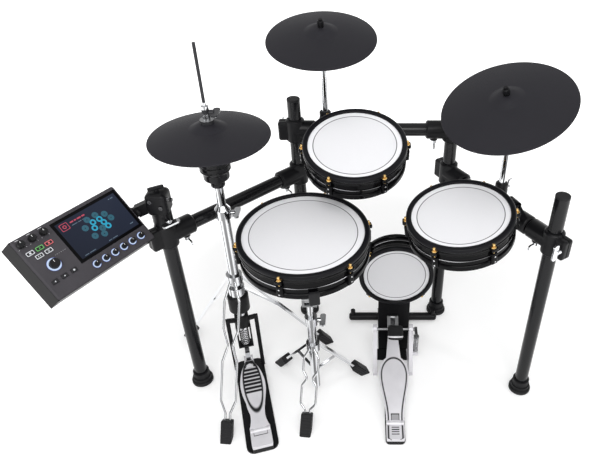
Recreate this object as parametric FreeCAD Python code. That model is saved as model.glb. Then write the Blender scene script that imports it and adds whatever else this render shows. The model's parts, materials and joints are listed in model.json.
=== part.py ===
import FreeCAD, Part
import math
import os

os.makedirs("parts", exist_ok=True)

V = FreeCAD.Vector
UP = V(0, 0, 1)

# Fits between pieces, all in millimetres
slip = 0.2            # radial gap of a tube or plug in its seat
running = 0.06        # radial gap of a shaft that turns or slides
clear = 0.5           # gap between faces that pass each other
seat_gap = 0.3        # gap of a spring's end to its seat
pick = 0.1            # how near a face an edge is when it is picked for rounding

# Rack: plan positions of the posts, heights of rails and post tops
tube_d = 38.1
tube_wall = 2.0
left_front_x = -617.0
left_front_y = -146.0
right_front_x = 390.0
right_front_y = -178.0
left_rear_x = -300.0
rear_y = 176.0
rear_span = 458.0
rear_rail_z = 723.0
side_rail_z = 580.0
rear_post_top = 820.0
right_post_top = 721.0
left_post_top = 652.0

# Post feet and caps
foot_base_r = 33.0
foot_base_h = 13.0
foot_step_r = 28.0
foot_step_h = 25.0
foot_collar_wall = 5.5
foot_h = 46.0
foot_floor = 8.0
foot_edge = 3.0
cap_h = 6.0
cap_plug = 14.0
cap_edge = 1.0

# Clamps that join posts and rails
clamp_wall = 8.0
clamp_h = 70.0
clamp_web = 8.0
clamp_bevel = 4.0
socket_len = 50.0
short_socket_len = 32.0
ear_len = 22.0
ear_w = 34.0
ear_h = 58.0
ear_slot = 3.0
ear_round = 7.0
boss_r = 11.0
boss_h = 5.0

# Wing bolts
wing_hub_r = 7.5
wing_hub_h = 12.0
wing_reach = 24.0
wing_h = 17.0
wing_t = 5.0
wing_round = 7.0
wing_edge = 1.0

# Cymbals, measured at the rim
crash_d = 305.0
ride_d = 340.0
hat_d = 298.0
cymbal_t = 4.0
cymbal_hole_r = 8.0
bow_rise = 24.0
bow_crown = 3.0
bell_r = 40.0
bell_rise = 12.0
bell_crown = 3.0

# Cymbal rods and tilters
rod_d = 18.5
rod_socket_wall = 8.0
tilter_r = 14.0
tilter_w = 26.0
tilter_drop = 62.0
stem_r = 5.0
ball_r = 12.0
cup_r = 18.0
cup_h = 11.0
nut_r = 9.0
nut_h = 14.0
nut_gap = 3.5
nut_edge = 1.5
cup_floor = 2.0
crash_x = -215.0
crash_behind_rail = 51.0
crash_rim_z = 972.0
crash_tilt = 12.2
crash_rod_below = 84.0
crash_socket_h = 74.0
ride_from_post = 222.0
ride_rim_z = 884.0
ride_tilt = 22.0
ride_tilt_heading = 220.0
ride_socket_h = 50.0
ride_rod_depth = 32.0

# Pads: visible head, hoop, shell and lugs
hoop_w = 14.0
hoop_rise = 7.0
hoop_drop = 16.0
hoop_round = 4.0
head_t = 2.0
head_tuck = 5.5
shell_step = 9.0
shell_wall = 6.0
shell_floor = 4.0
ring_out = 13.0
ring_h = 16.0
ring_bevel = 2.0
rib_h = 3.0
rib_out = 1.5
lug_count = 6
kick_lug_count = 4
lug_w = 16.0
lug_d = 12.0
lug_foot_gap = 8.0
lug_round = 4.0
lug_gap = 8.0
hoop_ear_w = 18.0
hoop_ear_out = 9.0
hoop_ear_h = 9.0
tension_rod_r = 3.0
tension_head_r = 4.5
tension_head_h = 9.0
cone_low_r = 22.0
cone_top_r = 9.0
pad_jack_r = 3.2
pad_jack_wall = 3.0
pad_jack_len = 15.0

snare_head_d = 310.0
snare_depth = 68.0
snare_x = -251.0
snare_y = -195.0
snare_z = 620.0
snare_tilt = 3.5
snare_lug_turn = 15.0
tom_head_d = 245.0
tom_depth = 66.0
tom_high_x = -122.0
tom_high_y = -29.0
tom_high_z = 783.0
tom_high_tilt = 15.2
tom_high_lug_turn = 3.0
tom_low_x = 142.0
tom_low_y = -185.0
tom_low_z = 670.0
tom_low_tilt = 9.8
tom_low_heading = 214.7
tom_low_lug_turn = 52.0
kick_head_d = 203.0
kick_depth = 66.0
kick_y = -5.0
kick_z = 315.0
kick_lug_turn = 45.0

# Tom mounts
pivot_reach = 28.0
pivot_drop = 41.0
pivot_pin_r = 5.0
pivot_eye_r = 12.0
pivot_ear_t = 7.0
tongue_w = 18.0
tongue_d = 22.0
mount_sleeve_len = 44.0
tom_low_from_post = 76.0

# Hi-hat stand
hat_x = -475.0
hat_y = -93.0
hat_rim_z = 834.0
hat_rod_r = 4.0
hat_rod_top = 1068.0
hat_cup_gap = 28.0
hat_cup_r = 39.5
hat_cup_h = 64.0
hat_cup_round = 6.0
hat_cup_step_r = 33.0
hat_cup_step_h = 22.0
hat_cup_bevel = 4.0
hat_neck_r = 17.0
hat_neck_h = 24.0
hat_upper_r = 12.0
hat_collar_r = 21.0
hat_collar_z = 612.0
hat_collar_h = 28.0
hat_lower_r = 15.5
hat_tube_bore = 6.0
hat_tube_low = 240.0
hat_leg_collar_r = 23.0
hat_leg_top = 385.0
hat_leg_collar_h = 30.0
hat_hub_r = 31.0
hat_hub_low = 262.0
hat_hub_h = 62.0
brace_ring_h = 30.0
brace_ring_r = 24.0
hat_leg_radius = 275.0
hat_leg_angles = (148.0, 25.0)
hat_loop_angle = 265.0
clutch_r = 9.0
clutch_len = 34.0
clutch_cup_r = 17.0
clutch_cup_h = 9.0
clutch_nut_h = 9.0

# Tripod legs of both stands
leg_w = 18.0
leg_t = 7.0
brace_w = 9.0
brace_t = 4.0
wire_r = 3.5
wire_bend = 14.0
wire_spread = 22.0
wire_pinch = 7.0
leg_foot_w = 33.0
leg_foot_t = 26.0
leg_foot_len = 58.0
leg_foot_edge = 4.0

# Snare stand
snare_stand_drop = 235.0
snare_upper_r = 9.5
snare_lower_r = 13.0
snare_lower_low = 18.0
snare_collar_z = 300.0
snare_collar_r = 18.0
snare_collar_h = 30.0
snare_overlap = 120.0
snare_leg_top = 196.0
snare_leg_collar_r = 20.0
snare_leg_collar_h = 28.0
snare_brace_z = 92.0
snare_leg_radius = 164.0
snare_leg_angles = (139.0, 25.0)
snare_loop_angle = 263.0
basket_hub_r = 15.0
basket_hub_w = 26.0
basket_arm_w = 13.0
basket_arm_t = 6.0
basket_angles = (330.0, 210.0, 102.0)
basket_fork_t = 7.0
basket_pin_r = 5.0
grip_w = 26.0
grip_t = 11.0
grip_h = 40.0
grip_lip = 14.0

# Kick tower and floor bar
tower_w = 106.0
tower_t = 8.0
tower_top = 350.0
tower_base_front = -20.0
tower_base_t = 8.0
tower_flange = 24.0
floor_bar_d = 28.0
floor_bar_len = 310.0
floor_bar_y = 128.0
saddle_w = 22.0
saddle_wall = 7.0
spur_r = 4.5
spur_h = 44.0
spur_knob_r = 8.0
spur_inset = 14.0

# Foot pedals, each hinged on a pin at the heel; outlines are half widths at shares of the length
board_t = 7.0
board_tongue = 13.0
kick_heel_half = 26.0
kick_waist_half = 29.0
kick_middle_half = 39.5
kick_belly_half = 44.5
kick_shoulder_half = 36.0
kick_outline = ((kick_waist_half, 0.2), (kick_middle_half, 0.42), (kick_belly_half, 0.62),
                (kick_shoulder_half, 0.76), (board_tongue, 0.84))
hat_heel_half = 29.0
hat_waist_half = 21.5
hat_belly_half = 36.5
hat_shoulder_half = 30.0
hat_outline = ((hat_waist_half, 0.24), (hat_belly_half, 0.55), (hat_shoulder_half, 0.75), (board_tongue, 0.9))
tread_low = 0.16
tread_middle = 0.52
tread_high = 0.88
tread_t = 2.0
tread_inset = 8.0
hinge_pin_r = 3.5
hinge_knuckle_r = 7.5
hinge_ear_w = 9.0
heel_len = 46.0
heel_t = 6.0
toe_pin_r = 2.5
toe_ear_t = 5.0
toe_ear_gap = 18.0
toe_gap = 4.0
link_w = 14.0
link_t = 8.0
link_window_w = 20.0
link_window_h = 10.4
link_rim = 4.0

# Kick pedal
pedal_x = -8.0
kick_heel_y = -330.0
kick_heel_z = 24.0
kick_board_len = 254.0
kick_link_len = 34.0
kick_base_w = 58.0
kick_base_t = 6.0
side_post_w = 13.0
side_post_d = 30.0
side_post_gap = 102.0
side_post_top = 147.0
cheek_reach = 65.0
cheek_toe_h = 14.0
axle_y = -50.0
axle_z = 130.0
axle_r = 5.0
axle_hub_r = 13.0
axle_hub_w = 30.0
crank_r = 40.0
crank_rise = 27.5
crank_w = 10.0
crank_eye_r = 8.0
beater_len = 176.0
beater_rod_r = 4.0
beater_lean = 47.8
beater_head_r = 22.0
beater_head_len = 40.0
beater_head_round = 7.0
rocker_r = 30.0
rocker_w = 8.0
rocker_eye_r = 7.0
kick_spring_coils = 13
kick_spring_r = 6.5
kick_spring_wire = 2.0
kick_spring_len = 62.0
spring_foot_h = 12.0

# Hi-hat pedal, laid along its own heading from the stand
hat_pedal_heading = 286.0
hat_heel_reach = 273.0
hat_heel_z = 28.0
hat_board_slope = 11.5
hat_board_len = 252.0
yoke_z = 220.0
yoke_h = 26.0
yoke_r = 21.0
yoke_edge = 2.0
yoke_w = 98.0
yoke_bar_w = 12.0
yoke_bar_t = 10.0
hat_base_w = 92.0
hat_base_t = 6.0
hat_base_back = 26.0
cage_low = 108.0
cage_top = 198.0
cage_w = 46.0
cage_t = 5.0
cage_d = 30.0
hat_spring_collar_r = 16.0
hat_spring_collar_h = 6.0
hat_spring_coils = 9
hat_spring_r = 13.0
hat_spring_wire = 3.0

# Sound module: face up the slope, long side along its heading
module_x = -741.7
module_y = -296.0
module_z = 674.4
module_heading = 58.8
module_slope = 44.0
module_h = 42.0
module_end_slope = 10.0
control_w = 91.0
panel_side = 5.0
panel_top = 9.3
knob_strip = 41.6
panel_t = 4.0
case_wall = 3.0
case_round = 6.0
screen_l = 178.7
screen_w = 112.3
screen_t = 4.0
screen_proud = 0.3
board_inset = 10.0
circuit_t = 1.6
circuit_depth = 24.0
standoff_r = 4.0
knob_shaft_r = 3.0
knob_lift = 0.6
volume_knob_r = 8.5
volume_knob_h = 13.0
volume_in = 14.8
volume_down = 17.4
volume_pitch = 27.6
volume_count = 3
dial_r = 11.5
dial_h = 14.0
dial_in = 43.0
dial_down = 90.0
pad_knob_r = 6.5
pad_knob_h = 11.0
pad_knob_in = 25.8
pad_knob_up = 22.7
pad_knob_pitch = 25.9
pad_knob_count = 6
key_l = 18.0
key_w = 10.0
key_proud = 2.0
key_flange = 1.5
key_lip = 1.5
key_round = 1.5
key_gap = 0.25
key_in = 19.0
key_down = 43.5
key_pitch_x = 22.8
key_pitch_y = 15.0
nav_in = 20.3
nav_down = 123.8
nav_l = 15.0
nav_pitch = 23.8
jack_r = 3.2
jack_wall = 3.0
jack_len = 16.0
jack_pitch = 24.0
jack_count = 4
tilt_pin_r = 7.0
tilt_pin_len = 30.0
tilt_flange_r = 17.0
tilt_flange_t = 6.0
tilt_barrel_wall = 7.0
tilt_barrel_len = 22.0
bracket_sleeve_h = 36.0
bracket_wall = 6.0
knuckle_l = 54.0
knuckle_h = 62.0
knuckle_round = 12.0
bracket_arm_w = 30.0

tube_r = tube_d / 2
hat_axis = V(hat_x, hat_y, 0)
hat_cup_top = hat_rim_z - hat_cup_gap
hat_cup_step_z = hat_cup_top - hat_cup_h
hat_cup_low = hat_cup_step_z - hat_cup_step_h
hat_neck_low = hat_cup_low - hat_neck_h
clamp_r = tube_r + clamp_wall
web_r = tube_r + clamp_web
left_front = V(left_front_x, left_front_y, 0)
right_front = V(right_front_x, right_front_y, 0)
left_rear = V(left_rear_x, rear_y, 0)
right_rear = V(left_rear_x + rear_span, rear_y, 0)


# Helpers

def unit(vector):
    """Copy of a vector with length one."""
    return V(vector).normalize()


def heading(degrees):
    """Level direction at an angle from +X."""
    angle = math.radians(degrees)
    return V(math.cos(angle), math.sin(angle), 0)


def at(point, height):
    """A plan point lifted to a height."""
    return V(point.x, point.y, height)


def seat(origin, axis, across):
    """Placement with local Z along axis and local X as near to across as it can be."""
    z_axis = unit(axis)
    y_axis = unit(z_axis.cross(across))
    return FreeCAD.Placement(origin, FreeCAD.Rotation(y_axis.cross(z_axis), y_axis, z_axis, "ZXY"))


def placed(shape, placement):
    """Copy of a shape moved by a placement."""
    moved = shape.copy()
    moved.Placement = placement.multiply(shape.Placement)
    return moved


def rod(start, end, radius):
    """Solid round bar between two points."""
    run = end - start
    return Part.makeCylinder(radius, run.Length, start, run)


def pipe(start, end, outer, inner):
    """Round tube between two points."""
    return rod(start, end, outer).cut(rod(start, end, inner))


def bar(start, end, width, depth, across):
    """Straight bar of rectangular section between two points, its width along across."""
    run = end - start
    box = Part.makeBox(width, depth, run.Length, V(-width / 2, -depth / 2, 0))
    return placed(box, seat(start, run, across))


def block(length, width, height, low_centre):
    """Box standing on the middle of its base."""
    return Part.makeBox(length, width, height, low_centre - V(length / 2, width / 2, 0))


def soft_block(length, width, height, low_centre, radius):
    """Box with every edge rounded."""
    box = block(length, width, height, low_centre)
    return box.makeFillet(radius, box.Edges)


def lathe(outline):
    """Solid of revolution about Z from a closed outline of (radius, height) points."""
    points = [V(radius, 0, height) for radius, height in outline]
    face = Part.Face(Part.makePolygon(points + points[:1]))
    return face.revolve(V(0, 0, 0), UP, 360)


def turned(radius, bore, low, high, bevel):
    """Round sleeve with bevelled rims."""
    return lathe([(bore, low), (radius - bevel, low), (radius, low + bevel),
                  (radius, high - bevel), (radius - bevel, high), (bore, high)])


def fuse(shapes):
    """One solid from shapes that meet."""
    return shapes[0].multiFuse(shapes[1:]).removeSplitter()


def group(shapes):
    """Separate solids kept together in one piece list."""
    return Part.makeCompound(shapes)


def corner_arc(first, corner, last):
    """Arc tangent to both legs of a corner, from first to last."""
    into = unit(corner - first)
    out = unit(last - corner)
    half = into.getAngle(out) / 2
    bend = (corner - first).Length / math.tan(half)
    middle = corner + unit(out - into) * (bend / math.cos(half) - bend)
    return Part.Arc(first, middle, last).toShape()


def bent_rod(points, radius, bend):
    """Round wire along straight runs joined by tangent arcs."""
    edges = []
    start = points[0]
    for before, corner, after in zip(points, points[1:], points[2:]):
        into = unit(corner - before)
        out = unit(after - corner)
        trim = bend * math.tan(into.getAngle(out) / 2)
        first = corner - into * trim
        last = corner + out * trim
        edges.append(Part.LineSegment(start, first).toShape())
        edges.append(corner_arc(first, corner, last))
        start = last
    edges.append(Part.LineSegment(start, points[-1]).toShape())
    profile = Part.Wire(Part.makeCircle(radius, points[0], points[1] - points[0]))
    return Part.Wire(edges).makePipeShell([profile], True, True)


def spring(name, radius, wire_d, coils, floor, ceiling):
    """Upright coil spring between two seats, one unbroken tube: two arcs per quarter turn, straight ends."""
    steps = coils * 4
    end_share = wire_d / (coils * math.pi * radius)
    length = (ceiling.z - floor.z - wire_d - 2 * seat_gap) / (1 + end_share)
    rise = length / steps
    turn = math.pi / 2
    points = [V(radius * math.cos(turn * k), radius * math.sin(turn * k), rise * k) for k in range(steps + 1)]
    tangents = [unit(V(-radius * turn * math.sin(turn * k), radius * turn * math.cos(turn * k), rise))
                for k in range(steps + 1)]
    start = points[0] - tangents[0] * wire_d
    edges = [Part.LineSegment(start, points[0]).toShape()]
    for low, high, leave, reach in zip(points, points[1:], tangents, tangents[1:]):
        chord = high - low
        square = 2 * (1 - leave.dot(reach))
        linear = 2 * chord.dot(leave + reach)
        arm = (math.sqrt(linear ** 2 + 4 * square * chord.dot(chord)) - linear) / (2 * square)
        first = low + leave * arm
        second = high - reach * arm
        middle = (first + second) * 0.5
        edges.append(corner_arc(low, first, middle))
        edges.append(corner_arc(middle, second, high))
    edges.append(Part.LineSegment(points[-1], points[-1] + tangents[-1] * wire_d).toShape())
    profile = Part.Wire(Part.makeCircle(wire_d / 2, start, tangents[0]))
    solid = Part.Wire(edges).makePipeShell([profile], True)
    apart = min((high - low).Length for index, low in enumerate(points) for high in points[index + 3:])
    print(name, "least gap to itself", round(apart - wire_d, 2), "mm")
    solid.translate((floor + ceiling) * 0.5 - UP * (length / 2))
    return solid


def wing_bolt(point, out, across):
    """Wing bolt whose hub sits on a face at point and points out of it."""
    hub = turned(wing_hub_r, 0, 0, wing_hub_h, wing_edge)
    plate = Part.makeBox(2 * wing_reach, wing_t, wing_h, V(-wing_reach, -wing_t / 2, wing_hub_h - wing_t))
    corners = [edge for edge in plate.Edges if abs(edge.tangentAt(0).y) > 0.9]
    wings = plate.makeFillet(wing_round, corners)
    return placed(fuse([hub, wings]), seat(point, out, across))


nodes = {}
bolts = []
clamps = []


# Rack: posts, rails, clamps, feet and caps

def rail_run(first, second, height):
    """Both ends and the direction of a rail between two posts."""
    along = unit(at(second, height) - at(first, height))
    return at(first, height) + along * web_r, at(second, height) - along * web_r, along


def post_foot(post):
    """Rubber foot with a socket for the post."""
    socket_r = tube_r + slip
    collar_r = socket_r + foot_collar_wall
    foot = lathe([(0, 0), (foot_base_r - foot_edge, 0), (foot_base_r, foot_edge),
                  (foot_base_r, foot_base_h - foot_edge), (foot_base_r - foot_edge, foot_base_h),
                  (foot_step_r, foot_base_h), (foot_step_r, foot_step_h), (collar_r, foot_step_h),
                  (collar_r, foot_h), (socket_r, foot_h), (socket_r, foot_floor), (0, foot_floor)])
    return placed(foot, FreeCAD.Placement(post, FreeCAD.Rotation()))


def post_cap(post, top):
    """Plastic cap: a disc as wide as the tube with a plug inside it."""
    plug_r = tube_r - tube_wall - slip
    cap = lathe([(0, -cap_h - cap_plug), (plug_r, -cap_h - cap_plug), (plug_r, -cap_h),
                 (tube_r, -cap_h), (tube_r, -cap_edge), (tube_r - cap_edge, 0), (0, 0)])
    return placed(cap, FreeCAD.Placement(at(post, top), FreeCAD.Rotation()))


def tee_clamp(post, height, along, reach):
    """Split sleeve on a post with a socket for the rail end and an ear for its bolt."""
    centre = at(post, height)
    side = UP.cross(along)
    sleeve = placed(turned(clamp_r, 0, -clamp_h / 2, clamp_h / 2, clamp_bevel),
                    FreeCAD.Placement(centre, FreeCAD.Rotation()))
    socket = placed(turned(clamp_r, 0, 0, web_r + reach, clamp_bevel), seat(centre, along, UP))
    ear = soft_block(ear_w, ear_h, clamp_r + ear_len, V(0, 0, 0), ear_round)
    ear = placed(ear, seat(centre, along * -1, side))
    boss_at = centre + along * (web_r + reach / 2)
    boss = rod(boss_at, boss_at - UP * (clamp_r + boss_h), boss_r)
    body = fuse([sleeve, socket, ear, boss])
    body = body.cut(rod(centre - UP * clamp_h, centre + UP * clamp_h, tube_r + slip))
    body = body.cut(rod(centre + along * web_r, centre + along * (web_r + 2 * reach), tube_r + slip))
    slot = bar(centre, centre - along * 2 * (clamp_r + ear_len), ear_slot, 2 * clamp_h, side)
    bolts.append(wing_bolt(centre + side * (ear_w / 2) - along * (clamp_r + ear_len / 2), side, UP))
    bolts.append(wing_bolt(boss_at - UP * (clamp_r + boss_h), UP * -1, side))
    return body.cut(slot)


rear_start, rear_end, rear_along = rail_run(left_rear, right_rear, rear_rail_z)
left_start, left_end, left_along = rail_run(left_rear, left_front, side_rail_z)
right_start, right_end, right_along = rail_run(right_rear, right_front, side_rail_z)
post_tops = ((left_front, left_post_top), (right_front, right_post_top - cap_h),
             (left_rear, rear_post_top - cap_h), (right_rear, rear_post_top - cap_h))
capped = ((right_front, right_post_top), (left_rear, rear_post_top), (right_rear, rear_post_top))

nodes["rack_posts"] = group([pipe(at(post, foot_floor), at(post, top), tube_r, tube_r - tube_wall)
                             for post, top in post_tops])
nodes["rack_rails"] = group([pipe(start, end, tube_r, tube_r - tube_wall) for start, end in
                             ((rear_start, rear_end), (left_start, left_end), (right_start, right_end))])
nodes["post_ends"] = group([post_foot(post) for post, top in post_tops]
                           + [post_cap(post, top) for post, top in capped])
clamps += [tee_clamp(left_rear, rear_rail_z, rear_along, short_socket_len),
           tee_clamp(right_rear, rear_rail_z, rear_along * -1, socket_len),
           tee_clamp(left_rear, side_rail_z, left_along, socket_len),
           tee_clamp(left_front, side_rail_z, left_along * -1, socket_len),
           tee_clamp(right_rear, side_rail_z, right_along, socket_len),
           tee_clamp(right_front, side_rail_z, right_along * -1, socket_len)]


# Cymbals, their rods and rail clamps

bell_top = bow_rise + bell_rise + cymbal_t
ball_z = bell_top - cymbal_t - cup_h - cup_floor


def cymbal(diameter, hole_r):
    """Cymbal shell: bow and bell arcs, the underside one thickness below."""
    rim = diameter / 2
    bow_mid = V((rim + bell_r) / 2, 0, bow_rise / 2 + bow_crown)
    bell_mid = V((bell_r + hole_r) / 2, 0, bow_rise + bell_rise / 2 + bell_crown)
    low = [V(rim, 0, 0), bow_mid, V(bell_r, 0, bow_rise), bell_mid, V(hole_r, 0, bow_rise + bell_rise)]
    high = [point + UP * cymbal_t for point in low]
    edges = [Part.Arc(*low[0:3]).toShape(), Part.Arc(*low[2:5]).toShape(),
             Part.LineSegment(low[4], high[4]).toShape(),
             Part.Arc(*high[2:5]).toShape(), Part.Arc(*high[0:3]).toShape(),
             Part.LineSegment(high[0], low[0]).toShape()]
    face = Part.Face(Part.Wire(Part.__sortEdges__(edges)))
    return face.revolve(V(0, 0, 0), UP, 360)


def rocking_cymbal(diameter):
    """Cymbal with a moulded cup under its bell that rides on the tilter's ball."""
    cup = rod(V(0, 0, bell_top - cymbal_t - cup_h), V(0, 0, bell_top - cymbal_t / 2), cup_r)
    hollow = Part.makeSphere(ball_r + slip, V(0, 0, ball_z))
    cup = cup.cut(hollow).cut(rod(V(0, 0, 0), V(0, 0, bell_top), cymbal_hole_r))
    return fuse([cymbal(diameter, cymbal_hole_r), cup])


def tilter_rod(frame, low_z):
    """Upright rod, tilter barrel with its wing screw, ball, threaded stem and nut, as one welded piece."""
    base = frame.multVec(V(0, 0, -tilter_drop))
    across = frame.Rotation.multVec(V(1, 0, 0))
    upright = rod(at(base, low_z), base, rod_d / 2)
    barrel = rod(base - across * (tilter_w / 2), base + across * (tilter_w / 2), tilter_r)
    nut_low = bell_top + nut_gap
    stem = rod(V(0, 0, -tilter_drop), V(0, 0, nut_low + nut_h + stem_r), stem_r)
    ball = Part.makeSphere(ball_r, V(0, 0, ball_z))
    nut = turned(nut_r, 0, nut_low, nut_low + nut_h, nut_edge)
    head = placed(fuse([stem, ball, nut]), frame)
    wing = wing_bolt(base + across * (tilter_w / 2), across, UP)
    return fuse([upright, barrel, head, wing])


def tilted(face, tilt, toward):
    """Frame whose local Z leans by tilt towards a level direction, its local X level."""
    angle = math.radians(tilt)
    axis = toward * math.sin(angle) + UP * math.cos(angle)
    return seat(face, axis, UP.cross(toward) * -1)


toward_player = V(0, -1, 0)
crash_lean = math.radians(crash_tilt)
crash_base_y = left_rear.y + crash_behind_rail
crash_frame = tilted(V(crash_x, crash_base_y - tilter_drop * math.sin(crash_lean), crash_rim_z),
                     crash_tilt, toward_player)
ride_toward = heading(ride_tilt_heading)
ride_rail_point = at(right_rear, side_rail_z) + right_along * ride_from_post
ride_lean = math.radians(ride_tilt)
ride_centre = at(ride_rail_point, ride_rim_z) + ride_toward * (tilter_drop * math.sin(ride_lean))
ride_frame = tilted(ride_centre, ride_tilt, ride_toward)
rod_socket_r = rod_d / 2 + rod_socket_wall
ride_socket_low = side_rail_z + clamp_r
ride_rod_low = ride_socket_low + ride_socket_h - ride_rod_depth


def rail_sleeve(point, along):
    """Bevelled sleeve round a rail, bored later."""
    return placed(turned(clamp_r, 0, -mount_sleeve_len / 2, mount_sleeve_len / 2, clamp_bevel),
                  seat(point, along, UP))


def rail_bore(point, along):
    """Cutter for the rail's passage through a mount."""
    return rod(point - along * mount_sleeve_len, point + along * mount_sleeve_len, tube_r + slip)


def crash_clamp():
    """Rail sleeve with an upright socket behind it for the crash rod."""
    rail = V(crash_x, left_rear.y, rear_rail_z)
    spot = V(crash_x, crash_base_y, rear_rail_z)
    socket = placed(turned(rod_socket_r, 0, -crash_socket_h / 2, crash_socket_h / 2, clamp_bevel),
                    FreeCAD.Placement(spot, FreeCAD.Rotation()))
    web = bar(rail, spot, 2 * rod_socket_r, crash_socket_h / 2, rear_along)
    body = fuse([rail_sleeve(rail, rear_along), socket, web])
    body = body.cut(rail_bore(rail, rear_along))
    bolts.append(wing_bolt(spot + V(0, rod_socket_r, 0), V(0, 1, 0), UP))
    return body.cut(rod(spot - UP * crash_socket_h, spot + UP * crash_socket_h, rod_d / 2 + running))


def ride_clamp():
    """Rail sleeve with an upright socket on top of it for the ride rod."""
    socket = placed(turned(rod_socket_r, 0, side_rail_z, ride_socket_low + ride_socket_h, clamp_bevel),
                    FreeCAD.Placement(at(ride_rail_point, 0), FreeCAD.Rotation()))
    body = fuse([rail_sleeve(ride_rail_point, right_along), socket])
    body = body.cut(rail_bore(ride_rail_point, right_along))
    out = unit(V(1, 0, 0) - right_along * right_along.x)
    spot = at(ride_rail_point, ride_socket_low + ride_socket_h / 2) + out * rod_socket_r
    bolts.append(wing_bolt(spot, out, UP))
    return body.cut(rod(at(ride_rail_point, ride_socket_low), at(ride_rail_point, ride_rim_z),
                        rod_d / 2 + running))


nodes["crash_rod"] = tilter_rod(crash_frame, rear_rail_z - crash_rod_below)
nodes["crash_cymbal"] = placed(rocking_cymbal(crash_d), crash_frame)
nodes["ride_rod"] = tilter_rod(ride_frame, ride_rod_low)
nodes["ride_cymbal"] = placed(rocking_cymbal(ride_d), ride_frame)
clamps += [crash_clamp(), ride_clamp()]


# Pads: local Z out of the playing face, which is at zero

def shell_radius(head_d):
    """Outer radius of the shell's main band."""
    return head_d / 2 + shell_step


def pad_head(head_d):
    """Mesh head, its edge tucked under the hoop."""
    return rod(V(0, 0, -head_t), V(0, 0, 0), head_d / 2 + head_tuck)


def pad_hoop(head_d, turn, count):
    """Rubber-covered hoop with an ear and a tension rod at each lug."""
    inner = head_d / 2
    tuck = inner + head_tuck + slip
    outer = inner + hoop_w
    rim = lathe([(inner, slip), (inner, hoop_rise - hoop_round / 2), (inner + hoop_round / 2, hoop_rise),
                 (outer - hoop_round, hoop_rise), (outer, hoop_rise - hoop_round), (outer, -hoop_drop),
                 (tuck, -hoop_drop), (tuck, slip)])
    ear_out = outer + hoop_ear_out
    ear = Part.makeBox(ear_out - outer + hoop_round, hoop_ear_w, hoop_ear_h,
                       V(outer - hoop_round, -hoop_ear_w / 2, -hoop_drop))
    ear = ear.makeFillet(hoop_round, [edge for edge in ear.Edges if edge.CenterOfMass.x > ear_out - pick
                                      and abs(edge.tangentAt(0).z) > 0.9])
    rod_x = shell_radius(head_d) + lug_d / 2
    ear_top = hoop_ear_h - hoop_drop
    shaft = rod(V(rod_x, 0, -hoop_drop - lug_gap), V(rod_x, 0, ear_top), tension_rod_r)
    cap = rod(V(rod_x, 0, ear_top), V(rod_x, 0, ear_top + tension_head_h), tension_head_r)
    cap = cap.cut(rim)
    tension = fuse([shaft, cap])
    hole = rod(V(rod_x, 0, -2 * hoop_drop), V(rod_x, 0, hoop_rise), tension_rod_r + slip)
    rods = []
    for index in range(count):
        spin = FreeCAD.Placement(V(0, 0, 0), FreeCAD.Rotation(UP, turn + 360 * index / count))
        rim = rim.fuse(placed(ear, spin)).cut(placed(hole, spin))
        rods.append(placed(tension, spin))
    return group([rim] + rods)


def pad_shell(head_d, depth, turn, count):
    """Cup-shaped shell with a ribbed band, a foot ring, lugs, a sensor cone and a jack socket."""
    neck = head_d / 2 + head_tuck
    band = shell_radius(head_d)
    foot = head_d / 2 + ring_out
    bore = neck - shell_wall
    shoulder = -hoop_drop - clear
    foot_top = ring_h - depth
    rib = foot_top - (foot_top - shoulder) / 2
    ridge = band + rib_out
    outline = [(0, -depth), (foot - ring_bevel, -depth), (foot, ring_bevel - depth),
               (foot, foot_top - ring_bevel), (foot - ring_bevel, foot_top), (band, foot_top),
               (band, rib - rib_h), (ridge, rib - rib_h), (ridge, rib), (band, rib), (band, shoulder),
               (neck, shoulder), (neck, -head_t), (bore, -head_t), (bore, shell_floor - depth),
               (0, shell_floor - depth)]
    cup = lathe(outline)
    lug_top = -hoop_drop - lug_gap
    lug_low = lug_foot_gap - depth
    lug = Part.makeBox(lug_d + lug_round, lug_w, lug_top - lug_low, V(band - lug_round, -lug_w / 2, lug_low))
    lug = lug.makeFillet(lug_round, [edge for edge in lug.Edges if edge.CenterOfMass.x > band + lug_d - pick])
    lugs = [placed(lug, FreeCAD.Placement(V(0, 0, 0), FreeCAD.Rotation(UP, turn + 360 * k / count)))
            for k in range(count)]
    jack_x = band - shell_wall - 4 * pad_jack_r
    jack = rod(V(jack_x, 0, -depth), V(jack_x, 0, pad_jack_len - depth), pad_jack_r + pad_jack_wall)
    cup = fuse([cup, jack] + lugs)
    cup = cup.cut(rod(V(jack_x, 0, -depth), V(jack_x, 0, pad_jack_len - pad_jack_wall - depth), pad_jack_r))
    cone_h = depth - shell_floor - head_t - slip
    cone = Part.makeCone(cone_low_r, cone_top_r, cone_h, V(0, 0, shell_floor - depth))
    return cup, cone


def pivot_point(head_d, out):
    """Tilt pivot of a rail-mounted pad, in the pad's frame."""
    return out * (shell_radius(head_d) + pivot_reach) - UP * pivot_drop


def pivot_ears(head_d, out):
    """Pair of ears on the shell with bores for the pivot pin."""
    pivot = pivot_point(head_d, out)
    across = UP.cross(out)
    near = tongue_w / 2 + clear
    ears = []
    for sign in (-1, 1):
        inner = pivot + across * sign * near
        outer = pivot + across * sign * (near + pivot_ear_t)
        middle = pivot + across * sign * (near + pivot_ear_t / 2)
        root = middle - out * (pivot_reach + shell_wall / 2)
        plate = bar(middle, root, pivot_ear_t, 2 * pivot_eye_r, across)
        ears.append(fuse([rod(inner, outer, pivot_eye_r), plate]))
    bore = rod(pivot - across * pivot_reach, pivot + across * pivot_reach, pivot_pin_r + running)
    return ears, bore


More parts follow.
